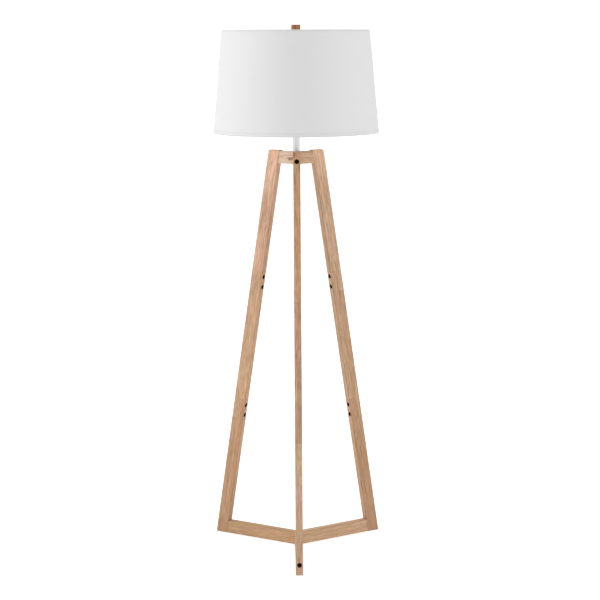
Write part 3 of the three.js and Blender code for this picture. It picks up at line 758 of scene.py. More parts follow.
def without_holes(bm, bolts):
    """Takes the faceted bolt holes out of a plank and closes its faces over them."""
    reach = BOLT_HEAD_RADIUS + 0.5 * MM
    for top, axis, length in bolts:
        inside = set()
        for vertex in bm.verts:
            offset = vertex.co - top
            along = offset.dot(axis)
            if -length - 2 * MM < along < 4 * MM and (offset - axis * along).length < reach:
                inside.add(vertex)
        walls = [face for face in bm.faces if all(vertex in inside for vertex in face.verts)]
        bmesh.ops.delete(bm, geom=walls, context="FACES")
    rims = [edge for edge in bm.edges if edge.is_boundary]
    if rims:
        bmesh.ops.holes_fill(bm, edges=rims, sides=0)
    bmesh.ops.recalc_face_normals(bm, faces=bm.faces)
    bmesh.ops.dissolve_limit(bm, angle_limit=radians(0.5), verts=bm.verts, edges=bm.edges)


def grow(bm, distance):
    """Moves every face outward by a distance, keeping the corners where the faces meet."""
    bm.normal_update()
    moves = []
    for vertex in bm.verts:
        normals = []
        for face in vertex.link_faces:
            if all(face.normal.dot(other) < 0.9999 for other in normals):
                normals.append(face.normal.copy())
        solved = np.linalg.lstsq(np.array(normals), np.full(len(normals), distance), rcond=None)[0]
        moves.append(Vector(solved))
    for vertex, move in zip(bm.verts, moves):
        vertex.co += move


def weigh_edges(bm):
    """Marks how much of the full rounding each edge gets."""
    weight = bm.edges.layers.float.new("bevel_weight_edge")
    for edge in bm.edges:
        if len(edge.link_faces) == 2 and edge.calc_face_angle_signed() >= radians(25):
            edge[weight] = 1.0 if edge.calc_length() > LONG_EDGE else FINE_EASE


def bolt_cutter(bolts):
    """Round counterbored holes for the bolts, a little wider than the CAD model's facets."""
    head = BOLT_HEAD_RADIUS + HOLE_ROOM
    shank = BOLT_SHANK_RADIUS + HOLE_ROOM
    floor = -BOLT_HEAD_HEIGHT - HOLE_ROOM
    mouth = 12 * MM
    bm = bmesh.new()
    for top, axis, length in bolts:
        end = -length - HOLE_ROOM
        hole = lathe([(0, end), (shank, end), (shank, floor), (head, floor), (head, mouth),
                      (0, mouth)], 48)
        hole.transform(seated(top, axis))
        bm.from_mesh(hole)
    return mesh_of(bm)


def plank_mesh(node, bolts):
    bm = bmesh.new()
    bm.from_mesh(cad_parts[node].data)
    bmesh.ops.remove_doubles(bm, verts=bm.verts, dist=SAME_POINT)
    without_holes(bm, bolts)
    grow(bm, JOINT_CLOSING)
    weigh_edges(bm)
    blank = add_object(node + "_blank", mesh_of(bm))
    modify(blank, "Eased", "BEVEL", limit_method="WEIGHT", width=EASE, segments=3,
           use_clamp_overlap=True, material=1)
    for _ in range(2):
        blank.data.materials.append(None)
    mesh = evaluated(blank)
    bpy.data.objects.remove(blank)
    eased_faces = mesh.attributes.new("eased", "FLOAT", "FACE")
    for polygon in mesh.polygons:
        eased_faces.data[polygon.index].value = float(polygon.material_index == 1)
        polygon.material_index = 0
    return cut(mesh, bolt_cutter(bolts))


def keep_flats_flat(piece):
    modify(piece, "Flats", "WEIGHTED_NORMAL", keep_sharp=True, weight=100)


# The mean colour of each plank, linear.
TONES = {
    "front_leg_upper": (0.723, 0.452, 0.281),
    "front_leg_middle": (0.540, 0.334, 0.216),
    "front_leg_lower": (0.539, 0.355, 0.233),
    "front_arm": (0.60, 0.40, 0.26),
    "front_rail": (0.60, 0.40, 0.27),
    "right_leg_upper": (0.611, 0.407, 0.271),
    "right_leg_middle": (0.509, 0.323, 0.196),
    "right_leg_lower": (0.458, 0.270, 0.153),
    "right_arm": (0.528, 0.358, 0.224),
    "right_rail": (0.528, 0.348, 0.211),
    "left_leg_upper": (0.665, 0.423, 0.292),
    "left_leg_middle": (0.558, 0.357, 0.216),
    "left_leg_lower": (0.471, 0.280, 0.156),
    "left_arm": (0.619, 0.461, 0.344),
    "left_rail": (0.468, 0.292, 0.164),
}
# Painted light and shade on each plank's narrow faces: a factor above 1 paints them lighter than the
# wide faces, below 1 darker.
NARROW_FACE_PAINTED_LIGHT_AND_SHADE = {"leg_upper": 0.82, "leg_middle": 0.95, "leg_lower": 1.06, "arm": 0.87, "rail": 1.15}
# How each board's tone drifts from its lower end to its upper end.
DRIFTS = {
    "front_leg_middle": (0.95, 1.06),
    "right_leg_upper": (0.91, 1.08),
    "right_leg_lower": (0.95, 1.03),
    "left_leg_upper": (0.76, 1.12),
    "left_leg_lower": (0.88, 1.08),
}
# The slope of the grain to the plank's edge.
RUN_OUTS = {
    "front_leg_upper": 0.05,
    "front_leg_middle": -0.02,
    "right_leg_upper": -0.006,
    "left_leg_upper": 0.008,
}
GRAIN_CONTRAST = {"leg_upper": 1.0, "leg_middle": 0.9, "leg_lower": 0.8, "arm": 0.75, "rail": 0.6}
# Each knot's place in its plank's frame and its size, in millimetres.
KNOTS = {
    "left_arm": [((14.5, 9.5, -4.0), 4.2), ((9, 9.5, -2.5), 3.0)],
    "front_leg_upper": [((1138, -8.0, -17.5), 5.0)],
    "front_leg_lower": [((43, -2.8, -17.5), 0.9)],
}

PLANK_BOLTS = {
    "leg_upper": ("arm_bolt", "upper_lap_bolt_1", "upper_lap_bolt_2"),
    "leg_middle": ("upper_lap_bolt_1", "upper_lap_bolt_2", "lower_lap_bolt_1", "lower_lap_bolt_2"),
    "leg_lower": ("lower_lap_bolt_1", "lower_lap_bolt_2", "rail_bolt"),
    "arm": ("arm_bolt",),
    "rail": ("rail_bolt",),
}


def board_knots(node):
    return [(tuple(part * MM for part in place), size * MM) for place, size in KNOTS.get(node, ())]


def build_timber():
    for index, (leg, azimuth) in enumerate(LEG_AZIMUTHS.items()):
        leg_middle = about_z(1, azimuth) * (FOOT_RADIUS - PLANK_WIDTH / 2 / cos(LEAN))
        for number, (plank, bolt_names) in enumerate(PLANK_BOLTS.items()):
            node = f"{leg}_{plank}"
            low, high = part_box(node)
            if plank.startswith("leg"):
                centre, rotation = leg_middle, (0, -(pi / 2 + LEAN), azimuth)
                width = PLANK_WIDTH
            else:
                centre, rotation = Vector((0, 0, (low.z + high.z) / 2)), (0, 0, azimuth)
                width = high.z - low.z
            drift = None
            if node in DRIFTS:
                drift = (low.z / cos(LEAN), high.z / cos(LEAN)), DRIFTS[node]
            finish = timber(
                node + "_oak", centre, rotation, TONES[node], 1.37 + 5 * index + number,
                board_knots(node), GRAIN_CONTRAST[plank], RUN_OUTS.get(node, 0.0),
                half=(PLANK_THICKNESS / 2, width / 2), edge_tone=NARROW_FACE_PAINTED_LIGHT_AND_SHADE[plank], drift=drift)
            mesh = plank_mesh(node, [bolt_place(f"{leg}_{bolt}") for bolt in bolt_names])
            keep_flats_flat(add_piece(node + "_timber", mesh, ("leg_timber", finish), node))


# ---- Fasteners ----

BOLT_CHAMFER = 0.3 * MM


def bolt_mesh(length):
    half_angle = radians(30)
    socket = hexagon(BOLT_SOCKET_RADIUS * 2 * cos(half_angle))
    wide_socket = hexagon((BOLT_SOCKET_RADIUS + 0.25 * MM) * 2 * cos(half_angle))
    head = BOLT_HEAD_RADIUS + 0.25 * MM
    return lathe([
        (0, -length), (BOLT_SHANK_RADIUS - BOLT_CHAMFER, -length),
        (BOLT_SHANK_RADIUS, -length + BOLT_CHAMFER), (BOLT_SHANK_RADIUS, -BOLT_HEAD_HEIGHT),
        (head, -BOLT_HEAD_HEIGHT), (head, -BOLT_CHAMFER),
        (head - BOLT_CHAMFER * 0.3, -BOLT_CHAMFER * 0.3), (head - BOLT_CHAMFER, 0),
        (wide_socket, 0), (socket, -0.25 * MM), (socket, -BOLT_SOCKET_DEPTH),
        (0, -BOLT_SOCKET_DEPTH - 0.8 * MM),
    ], 48)


def build_bolts():
    bolts = dict.fromkeys(bolt for names in PLANK_BOLTS.values() for bolt in names)
    for leg in LEG_AZIMUTHS:
        for bolt in bolts:
            node = f"{leg}_{bolt}"
            top, axis, length = bolt_place(node)
            mesh = bolt_mesh(length)
            mesh.transform(seated(top, axis))
            add_piece(node + "_head", mesh, BLACK_STEEL, node)


def nut_mesh(bottom, top, flange=None):
    """A hexagon nut with chamfered corners, and a flange on top where one is given."""
    hexagonal = hexagon(NUT_ACROSS_FLATS)
    corner = NUT_ACROSS_FLATS / 2 / cos(radians(30))

    def side(shrink):
        return lambda angle, height: min(hexagonal(angle, height), corner - shrink)

    profile = [(PIPE_HOLE, bottom + 0.5 * MM), (PIPE_HOLE + 0.5 * MM, bottom)]
    chamfer = [(side(1.0 * MM), 0), (side(0.5 * MM), 0.3 * MM), (side(0), 0.9 * MM)]
    profile += [(radius, bottom + rise) for radius, rise in chamfer]
    if flange:
        radius, thickness = flange
        lower = top - thickness
        profile += [(side(0), lower), (radius - 0.3 * MM, lower + 0.1 * MM)]
        profile += [(radius, lower + 0.5 * MM), (radius, top - 0.3 * MM), (radius - 0.3 * MM, top)]
    else:
        profile += [(radius, top - rise) for radius, rise in reversed(chamfer)]
    profile += [(PIPE_HOLE + 0.5 * MM, top), (PIPE_HOLE, top - 0.5 * MM)]
    return lathe(profile, loop=True)


def carry_over(node, look, ease):
    """A CAD node whose shape is right: its corners are welded and eased, and it gets a finish."""
    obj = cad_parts[node]
    obj.data.materials.clear()
    obj.data.materials.append(look[1])
    modify(obj, "Weld", "WELD", merge_threshold=SAME_POINT)
    modify(obj, "Eased", "BEVEL", limit_method="ANGLE", angle_limit=radians(40), width=ease, segments=2)
    obj.data.shade_smooth()
    keep_flats_flat(obj)


# ---- What the hub clamps together ----

PIPE_THREAD_DEPTH = 0.5 * MM
PIPE_PITCH = 1.0 * MM
PIPE_THREAD_LENGTHS = (16 * MM, 18 * MM)
HUB_FLANGE = (13 * MM, 1.8 * MM)
BUSHING_BORE = 2.7 * MM
BUSHING_RADIUS = 7 * MM


def build_pipe_stack():
    profile = []
    for start, end in (
        (PIPE_BOTTOM, PIPE_BOTTOM + PIPE_THREAD_LENGTHS[0]),
        (PIPE_TOP - PIPE_THREAD_LENGTHS[1], PIPE_TOP),
    ):
        screw = thread(PIPE_RADIUS, PIPE_THREAD_DEPTH, PIPE_PITCH, start, end)
        profile += [(screw, z) for z in evenly(start, end, round((end - start) / PIPE_PITCH * 4))]
    profile += [(PIPE_BORE, PIPE_TOP), (PIPE_BORE, PIPE_BOTTOM)]
    add_piece("lamp_pipe_threaded", lathe(profile, 32, loop=True), ZINC, "lamp_pipe")

    neck = wall(NECK_RADIUS - NECK_WALL, NECK_RADIUS, ARM_TOP + GAP / 2, NECK_TOP)
    add_piece("neck", lathe(neck, loop=True, ease=0.4 * MM), NECK_PAINT, "neck_tube")

    nut_top = ARM_TOP - ARM_HEIGHT - GAP / 2
    add_piece("hub_flange_nut", nut_mesh(nut_top - 7 * MM, nut_top, HUB_FLANGE), ZINC, "hub_nut")
    low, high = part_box("saddle_nut")
    add_piece("saddle_lock_nut", nut_mesh(low.z, high.z), ZINC, "saddle_nut")

    flange_top = PIPE_BOTTOM - GAP
    flange_bottom = flange_top - 2.2 * MM
    sleeve_top = PIPE_BOTTOM + 8 * MM
    bushing = lathe([
        (BUSHING_BORE, flange_bottom), (BUSHING_RADIUS, flange_bottom),
        (BUSHING_RADIUS, flange_top), (PIPE_BORE - GAP, flange_top), (PIPE_BORE - GAP, sleeve_top),
        (BUSHING_BORE, sleeve_top),
    ], 64, loop=True, ease=0.6 * MM)
    add_piece("cord_bushing_moulded", bushing, BLACK_PLASTIC, "cord_bushing")
    carry_over("harp_saddle", BRASS, 0.35 * MM)


# ---- The socket, its key and the bulb ----

LAMP_PITCH = 3.6 * MM
CAP_WALL = 0.9 * MM
CAP_COLLAR = 7.5 * MM
CAP_SHOULDER = 1236 * MM
BEAD = 0.35 * MM
BEAD_HEIGHTS = (1246.6 * MM, 1257.5 * MM, 1274 * MM)
SHELL_EASE = 0.3 * MM
KNOB_HUB = 5 * MM
WING_HALF = 2.4 * MM
WING_CENTRE = 9 * MM - WING_HALF
KNOB_EASE = 0.7 * MM


def laid_forward(bm, start):
    """Turns a shape on +Z to point forward from the key's axis, from a distance along it."""
    bmesh.ops.rotate(bm, verts=bm.verts, matrix=Matrix.Rotation(radians(90), 3, "X"))
    bmesh.ops.translate(bm, verts=bm.verts, vec=(0, -start, KEY_HEIGHT))
    return mesh_of(bm)


def key_hole_cutter(radius):
    bm = bmesh.new()
    turned(bm, wall(0, radius, 0, 30 * MM), 32)
    return laid_forward(bm, 3 * MM)


def build_cap():
    collar_top = CAP_BOTTOM + 6 * MM
    cap = lathe([
        (PIPE_HOLE, CAP_BOTTOM), (CAP_COLLAR, CAP_BOTTOM), (CAP_COLLAR, collar_top),
        (CAP_RADIUS, CAP_SHOULDER), (CAP_RADIUS, CAP_RIM), (CAP_RADIUS - CAP_WALL, CAP_RIM),
        (CAP_RADIUS - CAP_WALL, CAP_SHOULDER + CAP_WALL), (CAP_COLLAR, collar_top + CAP_WALL),
        (PIPE_HOLE, collar_top + CAP_WALL),
    ], loop=True, ease=1.6 * MM, steps=5)
    add_piece("socket_cap_spun", cap, BRASS, "socket_cap")


def build_shell():
    inner = SHELL_RADIUS - SHELL_WALL
    shell = [(SHELL_RADIUS, SHELL_BOTTOM + SHELL_EASE)]
    for height in BEAD_HEIGHTS:
        for step in range(-4, 5):
            swell = BEAD * (0.5 + 0.5 * cos(step / 4 * pi))
            shell.append((SHELL_RADIUS - BEAD + swell, height + step * BEAD))
    shell += [(SHELL_RADIUS, SHELL_TOP - SHELL_EASE), (SHELL_RADIUS - SHELL_EASE, SHELL_TOP)]
    shell += [(inner, SHELL_TOP), (inner, SHELL_BOTTOM), (SHELL_RADIUS - SHELL_EASE, SHELL_BOTTOM)]
    mesh = cut(lathe(shell, loop=True), key_hole_cutter(KEY_SHAFT_RADIUS + 1 * MM))
    add_piece("socket_shell_beaded", mesh, BRASS, "socket_shell")


def build_insulator():
    outer = SHELL_RADIUS - SHELL_WALL - GAP
    bottom = SHELL_BOTTOM + 0.5 * MM
    top = SHELL_TOP - 2 * MM
    contact = 3 * MM
    contact_top = BULB_BOTTOM - GAP
    ease = 0.5 * MM
    screw = thread(SOCKET_BORE + 0.5 * MM, 0.5 * MM, LAMP_PITCH, SOCKET_FLOOR, top)
    body = [(0, bottom), (outer - ease, bottom), (outer, bottom + ease)]
    body += [(outer, top - ease), (outer - ease, top)]
    body += [(screw, z) for z in evenly(top, SOCKET_FLOOR, 40)]
    body += [(contact, SOCKET_FLOOR), (contact, contact_top), (0, contact_top)]
    mesh = cut(lathe(body), key_hole_cutter(KEY_SHAFT_RADIUS + GAP))
    add_piece("socket_insulator", mesh, IVORY, "socket_body")


def knob_radius(inset):
    """The radius, less an inset, of a round hub with a round-ended wing above and below it."""
    def radius(angle, _height):
        across = abs(cos(angle))
        along = abs(sin(angle))
        if along * WING_HALF < across * WING_CENTRE:
            wing = WING_HALF / across
        else:
            round_end = WING_HALF**2 - (WING_CENTRE * across) ** 2
            wing = WING_CENTRE * along + sqrt(round_end)
        return max(KNOB_HUB, wing) - inset
    return radius


def build_key():
    bm = bmesh.new()
    turned(bm, wall(0, KEY_SHAFT_RADIUS, 4 * MM, KEY_REACH + 1 * MM), 32)
    end = KEY_REACH + KNOB_LENGTH
    part_ease = KNOB_EASE * 0.3
    turned(bm, [
        (0, KEY_REACH), (knob_radius(KNOB_EASE), KEY_REACH),
        (knob_radius(part_ease), KEY_REACH + part_ease), (knob_radius(0), KEY_REACH + KNOB_EASE),
        (knob_radius(0), end - KNOB_EASE), (knob_radius(part_ease), end - part_ease),
        (knob_radius(KNOB_EASE), end), (0, end),
    ])
    add_piece("turn_key", laid_forward(bm, 0), BLACK_PLASTIC, "switch_key", body="key")


def build_bulb():
    base_top = BULB_BOTTOM + BULB_BASE_HEIGHT
    screw_bottom = BULB_BOTTOM + 5 * MM
    screw_top = base_top - 3 * MM
    screw = thread(BULB_BASE_RADIUS, 0.9 * MM, LAMP_PITCH, screw_bottom, screw_top)
    base = [(0, BULB_BOTTOM), (4 * MM, BULB_BOTTOM), (4.6 * MM, BULB_BOTTOM + 0.8 * MM)]
    base.append((10.5 * MM, screw_bottom - 1.4 * MM))
    base += [(screw, z) for z in evenly(screw_bottom, screw_top, 44)]
    base += [(BULB_BASE_RADIUS, base_top), (0, base_top)]
    add_piece("bulb_screw_base", lathe(base, 64), ZINC)

    collar_top = base_top + 22 * MM
    collar_radius = 20.6 * MM
    collar = lathe([
        (0, base_top), (BULB_BASE_RADIUS + 0.6 * MM, base_top),
        (BULB_BASE_RADIUS + 2.2 * MM, base_top + 8 * MM), (collar_radius, collar_top),
        (0, collar_top),
    ], ease=2 * MM)
    add_piece("bulb_collar", collar, BULB_PLASTIC)

    dome_centre = BULB_BOTTOM + BULB_HEIGHT - BULB_RADIUS
    start = radians(-35)
    shoulder_radius = BULB_RADIUS * cos(start)
    shoulder_height = dome_centre + BULB_RADIUS * sin(start)
    globe = [(0, collar_top), (collar_radius - 0.8 * MM, collar_top)]
    globe.append(((collar_radius + shoulder_radius) / 2 + 0.3 * MM, (collar_top + shoulder_height) / 2))
    for turn in evenly(start, pi / 2, 28):
        globe.append((BULB_RADIUS * cos(turn), dome_centre + BULB_RADIUS * sin(turn)))
    add_piece("bulb_diffuser", lathe(globe), FROST, "bulb")


# ---- The harp ----

SLEEVE_BAND = 1.6 * MM
SLEEVE_WAIST = 0.5 * MM


def harp_side(side):
    bend = HARP_BOTTOM + 20 * MM
    climb = HARP_WIDEST - bend
    crown = HARP_TOP - HARP_WIDEST

    def at(x, z):
        return Vector((side * x, 0, z))

    points = [at(HARP_FOOT, HARP_BOTTOM), at(HARP_FOOT, (HARP_BOTTOM + bend) / 2)]
    points += bezier((
        at(HARP_FOOT, bend),
        at(HARP_FOOT, bend + climb * 0.4),
        at(HARP_HALF_WIDTH, HARP_WIDEST - climb * 0.45),
        at(HARP_HALF_WIDTH, HARP_WIDEST),
    ), 24)
    points += bezier((
        at(HARP_HALF_WIDTH, HARP_WIDEST),
        at(HARP_HALF_WIDTH, HARP_WIDEST + crown * 0.6),
        at(HARP_HALF_WIDTH * 0.6, HARP_TOP),
        at(0, HARP_TOP),
    ), 24)[1:]
    return points


def build_harp():
    bm = bmesh.new()
    wire(bm, harp_side(1) + harp_side(-1)[-2::-1], HARP_WIRE_RADIUS)
    seat_bottom = HARP_TOP - 1 * MM
    seat_top = WASHER_BOTTOM - GAP
    screw = thread(STUD_RADIUS, 0.35 * MM, 1.0 * MM, seat_top, STUD_TOP)
    stud = eased([
        (0, seat_bottom), (HARP_SEAT_RADIUS, seat_bottom), (HARP_SEAT_RADIUS, seat_top),
        (STUD_RADIUS, seat_top),
    ], 0.6 * MM)
    stud += [(screw, z) for z in evenly(seat_top, STUD_TOP - 0.4 * MM, 64)[1:]]
    stud += [(STUD_RADIUS - 0.6 * MM, STUD_TOP), (0, STUD_TOP)]
    turned(bm, stud, 48)
    add_piece("harp_wire", mesh_of(bm), BRASS, "harp")


def build_sleeves():
    low = SHOULDER_TOP + GAP
    high = low + SLEEVE_LENGTH
    waist = SLEEVE_RADIUS - SLEEVE_WAIST
    sleeve = [
        (SLEEVE_BORE, low), (SLEEVE_RADIUS, low), (SLEEVE_RADIUS, low + SLEEVE_BAND),
        (waist, low + 2.2 * MM), (waist, high - 2.2 * MM), (SLEEVE_RADIUS, high - SLEEVE_BAND),
        (SLEEVE_RADIUS, high), (SLEEVE_BORE, high),
    ]
    for name, side in (("left", -1), ("right", 1)):
        mesh = lathe(sleeve, 48, loop=True, ease=0.35 * MM)
        mesh.transform(Matrix.Translation((side * HARP_FOOT, 0, 0)))
        node = f"harp_sleeve_{name}"
        add_piece(node + "_beaded", mesh, BRASS, node, body=f"sleeve_{name}")


# ---- The shade ----

SHADE_SEGMENTS = 240
CLOTH = 0.45 * MM
BAND_STEP = 0.4 * MM          # how far the trim stands out from the fabric
TRIM_CORNER = 1.6 * MM
SEAM_WIDTH = 12 * MM
SEAM_AZIMUTH = radians(97)
SEAM_EDGE = 0.35 * MM


def shade_radius(height):
    fall = (SHADE_TOP - height) / (SHADE_TOP - SHADE_BOTTOM)
    return SHADE_TOP_RADIUS + (SHADE_BOTTOM_RADIUS - SHADE_TOP_RADIUS) * fall


def ring_centre(height):
    return shade_radius(height) - SHADE_WALL - GAP - 0.15 * MM - RING_RADIUS


def ribbon(path, thickness):
    """A closed outline: a path of (radius, height) points and its copy, offset to the left."""
    points = [Vector(point) for point in path]
    offset = []
    for i, point in enumerate(points):
        ahead = points[min(i + 1, len(points) - 1)] - points[max(i - 1, 0)]
        left = Vector((-ahead.y, ahead.x)).normalized()
        offset.append(point + left * thickness)
    return [tuple(point) for point in points + offset[::-1]]


def seam_angles():
    """The fabric's columns: even, with close ones at the two edges of the lapped seam."""
    width = SEAM_WIDTH / SHADE_MEAN_RADIUS
    edge = SEAM_EDGE / SHADE_MEAN_RADIUS
    start = SEAM_AZIMUTH
    angles = {start - edge: 0, start + edge: 1, start + width - edge: 1, start + width + edge: 0}
    for angle in turns(SHADE_SEGMENTS):
        if not start - 2 * edge < angle < start + width + 2 * edge:
            angles[angle] = 0
    for i in (1, 2):
        angles[start + width * i / 3] = 1
    return sorted(angles.items())


def build_fabric():
    """The laminated fabric, lapped on itself at the seam, between the two trims."""
    heights = evenly(SHADE_BOTTOM + 1.2 * MM, SHADE_TOP - 1.2 * MM, 40)
    outline = [(shade_radius(z) - BAND_STEP, z, 1) for z in heights]
    outline += [(shade_radius(z) - BAND_STEP - CLOTH, z, 0) for z in reversed(heights)]
    angles = seam_angles()
    rings = []
    for radius, height, outside in outline:
        lap = CLOTH * 0.8 * outside
        rings.append([about_z(radius + lap * lapped, angle, height) for angle, lapped in angles])
    bm = bmesh.new()
    skin(bm, rings, loop=True)
    return add_piece("shade_fabric", mesh_of(bm), FABRIC, "shade_cover", "shade")


def trim_path(edge, upward, band):
    """From the band's edge on the outside, round the shade's rim and its ring, to the liner."""
    def at(inset, along):
        height = edge + upward * along
        return (shade_radius(height) - inset, height)
    roll = ring_centre(edge + upward * RING_INSET)
    inner = shade_radius(edge + upward * RING_INSET) - roll + RING_RADIUS + 0.3 * MM + CLOTH
    past_corner = TRIM_CORNER + 0.2 * MM
    bends = [(1 - cos(a), 1 - sin(a)) for a in (0.4, 0.8, 1.2)]
    ring_depth = RING_INSET + RING_RADIUS
    lined = SHADE_WALL + CLOTH
    points = [at(0.12 * MM, band), at(0, band - 0.5 * MM), at(0, TRIM_CORNER)]
    points += [at(TRIM_CORNER * cosine, TRIM_CORNER * sine) for cosine, sine in bends]
    points += [at(past_corner, 0), at(inner / 2, 0), at(inner - TRIM_CORNER, 0)]
    points += [at(inner - TRIM_CORNER * sine, TRIM_CORNER * cosine) for cosine, sine in bends]
    points += [at(inner, past_corner), at(inner, ring_depth - 0.6 * MM)]
    points += [at(inner - 1.2 * MM, ring_depth + 0.6 * MM), at(lined + 0.4 * MM, ring_depth + 1.6 * MM)]
    points += [at(lined + 0.1 * MM, ring_depth + 5 * MM)]
    return points


def build_trims():
    trims = []
    for name, edge, upward, band in (
        ("shade_top_trim", SHADE_TOP, -1, TOP_BAND),
        ("shade_bottom_trim", SHADE_BOTTOM, 1, BOTTOM_BAND),
    ):
        outline = ribbon(trim_path(edge, upward, band), CLOTH * 0.85 * (-upward))
        trims.append(add_piece(name, lathe(outline, SHADE_SEGMENTS, loop=True), TRIM, body="shade"))
    return trims


def build_liner():
    low = SHADE_BOTTOM + 1.6 * MM
    high = SHADE_TOP - 1.6 * MM
    outer = BAND_STEP + CLOTH + 0.02 * MM
    profile = [
        (shade_radius(low) - outer, low), (shade_radius(high) - outer, high),
        (shade_radius(high) - SHADE_WALL, high), (shade_radius(low) - SHADE_WALL, low),
    ]
    add_piece("shade_liner", lathe(profile, SHADE_SEGMENTS, loop=True), LINER, body="shade")


def wire_ring(name, height, node):
    centre = ring_centre(height)
    profile = []
    for turn in turns(20):
        profile.append((centre + RING_RADIUS * cos(turn), height + RING_RADIUS * sin(turn)))
    add_piece(name, lathe(profile, SHADE_SEGMENTS, loop=True), WIRE_COAT, node, "shade")


def build_spider():
    top = WASHER_BOTTOM + WASHER_THICKNESS
    washer = wall(STUD_RADIUS + 0.5 * MM, WASHER_RADIUS, WASHER_BOTTOM, top)
    bm = bmesh.new()
    turned(bm, washer, 64, loop=True, ease=0.5 * MM)
    ring_height = SHADE_TOP - RING_INSET
    hub_height = WASHER_BOTTOM + WASHER_THICKNESS / 2
    end_radius = ring_centre(ring_height) - RING_RADIUS
    drop_radius = end_radius - SPIDER_DROP_LENGTH
    arm = bezier((
        (end_radius, 0, ring_height),
        (end_radius - SPIDER_DROP_LENGTH * 0.6, 0, ring_height),
        (drop_radius + SPIDER_DROP_LENGTH * 0.5, 0, hub_height),
        (drop_radius, 0, hub_height),
    ), 16)
    radii = evenly(drop_radius, WASHER_RADIUS, 6)[1:-1] + [WASHER_RADIUS - 2.5 * MM]
    arm += [Vector((radius, 0, hub_height)) for radius in radii]
    for azimuth in SPIDER_AZIMUTHS:
        turn = Matrix.Rotation(radians(azimuth), 3, "Z")
        wire(bm, [turn @ point for point in arm], SPIDER_WIRE_RADIUS)
    add_piece("spider_wires", mesh_of(bm), WIRE_COAT, "shade_spider", "shade")


def build_shade():
    wire_ring("top_ring_wire", SHADE_TOP - RING_INSET, "shade_top_ring")
    wire_ring("bottom_ring_wire", SHADE_BOTTOM + RING_INSET, "shade_bottom_ring")
    fabric = build_fabric()
    trims = build_trims()
    build_liner()
    build_spider()


FINIAL_TONE = (0.48, 0.2, 0.073)
FINIAL_SEED = 21.3


def build_finial():
    bore = STUD_RADIUS + 0.4 * MM
    bore_top = STUD_TOP + 1 * MM
    mesh = lathe([
        (0, bore_top), (bore, bore_top), (bore, FINIAL_BOTTOM), (FINIAL_RADIUS, FINIAL_BOTTOM),
        (FINIAL_RADIUS, FINIAL_TOP), (0, FINIAL_TOP),
    ], ease=1.1 * MM, steps=5)
    finish = timber("finial_oak", (0, 0, FINIAL_TOP), (0, -pi / 2, 0), FINIAL_TONE, FINIAL_SEED)
    add_piece("finial_turned", mesh, ("finial_timber", finish), "finial", "finial_knob")


# ---- Pads and the plate under the rails ----

PAD_CORNER = 2 * MM
PAD_EASE = 0.25 * MM
PAD_POINTS = 64


def pad_outline(inset, height):
    """A rounded rectangle of points."""
    reach = PAD_CORNER - inset
    points = []
    for i in range(PAD_POINTS):
        turn = 2 * pi * (i + 0.5) / PAD_POINTS
        x = cos(turn)
        y = sin(turn)
        centre_x = copysign(PAD_LENGTH / 2 - PAD_CORNER, x)
        centre_y = copysign(PAD_WIDTH / 2 - PAD_CORNER, y)
        points.append(Vector((centre_x + reach * x, centre_y + reach * y, height)))
    return points


def pad_mesh(top):
    rings = [[Vector((0, 0, 0))], pad_outline(PAD_EASE, 0), pad_outline(0, PAD_EASE)]
    rings += [pad_outline(0, top - PAD_EASE), pad_outline(PAD_EASE, top), [Vector((0, 0, top))]]
    bm = bmesh.new()
    skin(bm, rings)
    return mesh_of(bm)


def build_pads():
    pad_top = PAD_THICKNESS + GAP / 2
    for leg, azimuth in LEG_AZIMUTHS.items():
        node = f"{leg}_foot_pad"
        low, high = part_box(node)
        middle = (low + high) / 2
        middle.z = 0
        mesh = pad_mesh(pad_top)
        mesh.transform(Matrix.Translation(middle) @ Matrix.Rotation(azimuth, 4, "Z"))
        add_piece(f"{leg}_foot_felt", mesh, FELT, node)
    centre_pad = lathe(wall(0, CENTRE_PAD_RADIUS, 0, pad_top), 64, ease=0.3 * MM)
    add_piece("centre_felt", centre_pad, FELT, "centre_pad")
    carry_over("centre_plate", ZINC, 0.3 * MM)
    for leg in LEG_AZIMUTHS:
        carry_over(f"{leg}_plate_screw", ZINC, 0.12 * MM)


# ---- The studio ----

WHITE = (1, 1, 1, 1)
AMBIENT = 0.18
BACKDROP = 1.05
FLOOR_GLOW = 0.42
FLOOR_SIZE = 60
# Each softbox's direction, strength, and spread in degrees.
SOFTBOXES = {
    "top_softbox": ((0, 0.15, -1), 2.34, 80),
    "left_softbox": ((1, 0, -0.12), 1.48, 30),
    "right_softbox": ((-1, 0.05, -0.12), 0.75, 30),
}


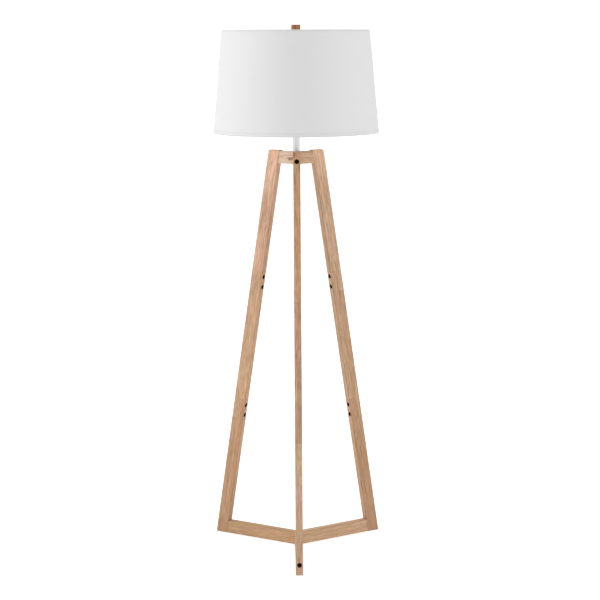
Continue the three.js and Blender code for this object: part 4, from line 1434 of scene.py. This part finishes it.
def build_lights():
    world = bpy.data.worlds.new("studio")
    bpy.context.scene.world = world
    world.use_nodes = True
    nodes, links = world.node_tree.nodes, world.node_tree.links
    lighting = nodes["Background"]
    backdrop = nodes.new("ShaderNodeBackground")
    for background, strength in ((lighting, AMBIENT), (backdrop, BACKDROP)):
        background.inputs["Color"].default_value = WHITE
        background.inputs["Strength"].default_value = strength
    seen = nodes.new("ShaderNodeLightPath")
    either = nodes.new("ShaderNodeMixShader")
    links.new(seen.outputs["Is Camera Ray"], either.inputs[0])
    links.new(lighting.outputs[0], either.inputs[1])
    links.new(backdrop.outputs[0], either.inputs[2])
    links.new(either.outputs[0], nodes["World Output"].inputs["Surface"])
    for name, (direction, strength, spread) in SOFTBOXES.items():
        light = bpy.data.lights.new(name, "SUN")
        light.energy = strength
        light.angle = radians(spread)
        softbox = add_object(name, light)
        softbox.rotation_euler = Vector(direction).to_track_quat("-Z", "Y").to_euler()


def build_floor():
    bm = bmesh.new()
    bmesh.ops.create_grid(bm, x_segments=2, y_segments=2, size=FLOOR_SIZE)
    mesh = bpy.data.meshes.new("floor")
    bm.to_mesh(mesh)
    bm.free()
    paper = Finish("studio_floor")
    mottle = paper.noise(paper.place(), 3, 1.0)
    mesh.materials.append(paper.finished(
        Base_Color=paper.mix(mottle, (0.9, 0.9, 0.9), (0.915, 0.915, 0.915)),
        Roughness=0.9,
        Specular_IOR_Level=0.1,
        Emission_Color=WHITE,
        Emission_Strength=FLOOR_GLOW,
    ))
    floor = add_object("floor", mesh)
    floor.location.z = -0.05 * MM


def build_camera():
    data = bpy.data.cameras.new("camera")
    data.sensor_width = 36
    data.lens = 93.19
    data.clip_end = 200
    camera = add_object("camera", data)
    bpy.context.scene.camera = camera
    yaw = 0.0145
    pitch = 0.1654
    roll = -0.0044
    distance = 4.299
    sideways = 0.0084
    height = 1.430
    camera.matrix_world = (
        Matrix.Rotation(-yaw, 4, "Z")
        @ Matrix.Translation((sideways, -distance, height))
        @ Matrix.Rotation(pi / 2 - pitch, 4, "X")
        @ Matrix.Rotation(roll, 4, "Z")
    )


bpy.context.scene.view_settings.view_transform = "Standard"
build_camera()
build_lights()
build_floor()
build_timber()
build_bolts()
build_pipe_stack()
build_cap()
build_shell()
build_insulator()
build_key()
build_bulb()
build_harp()
build_sleeves()
build_shade()
build_finial()
build_pads()
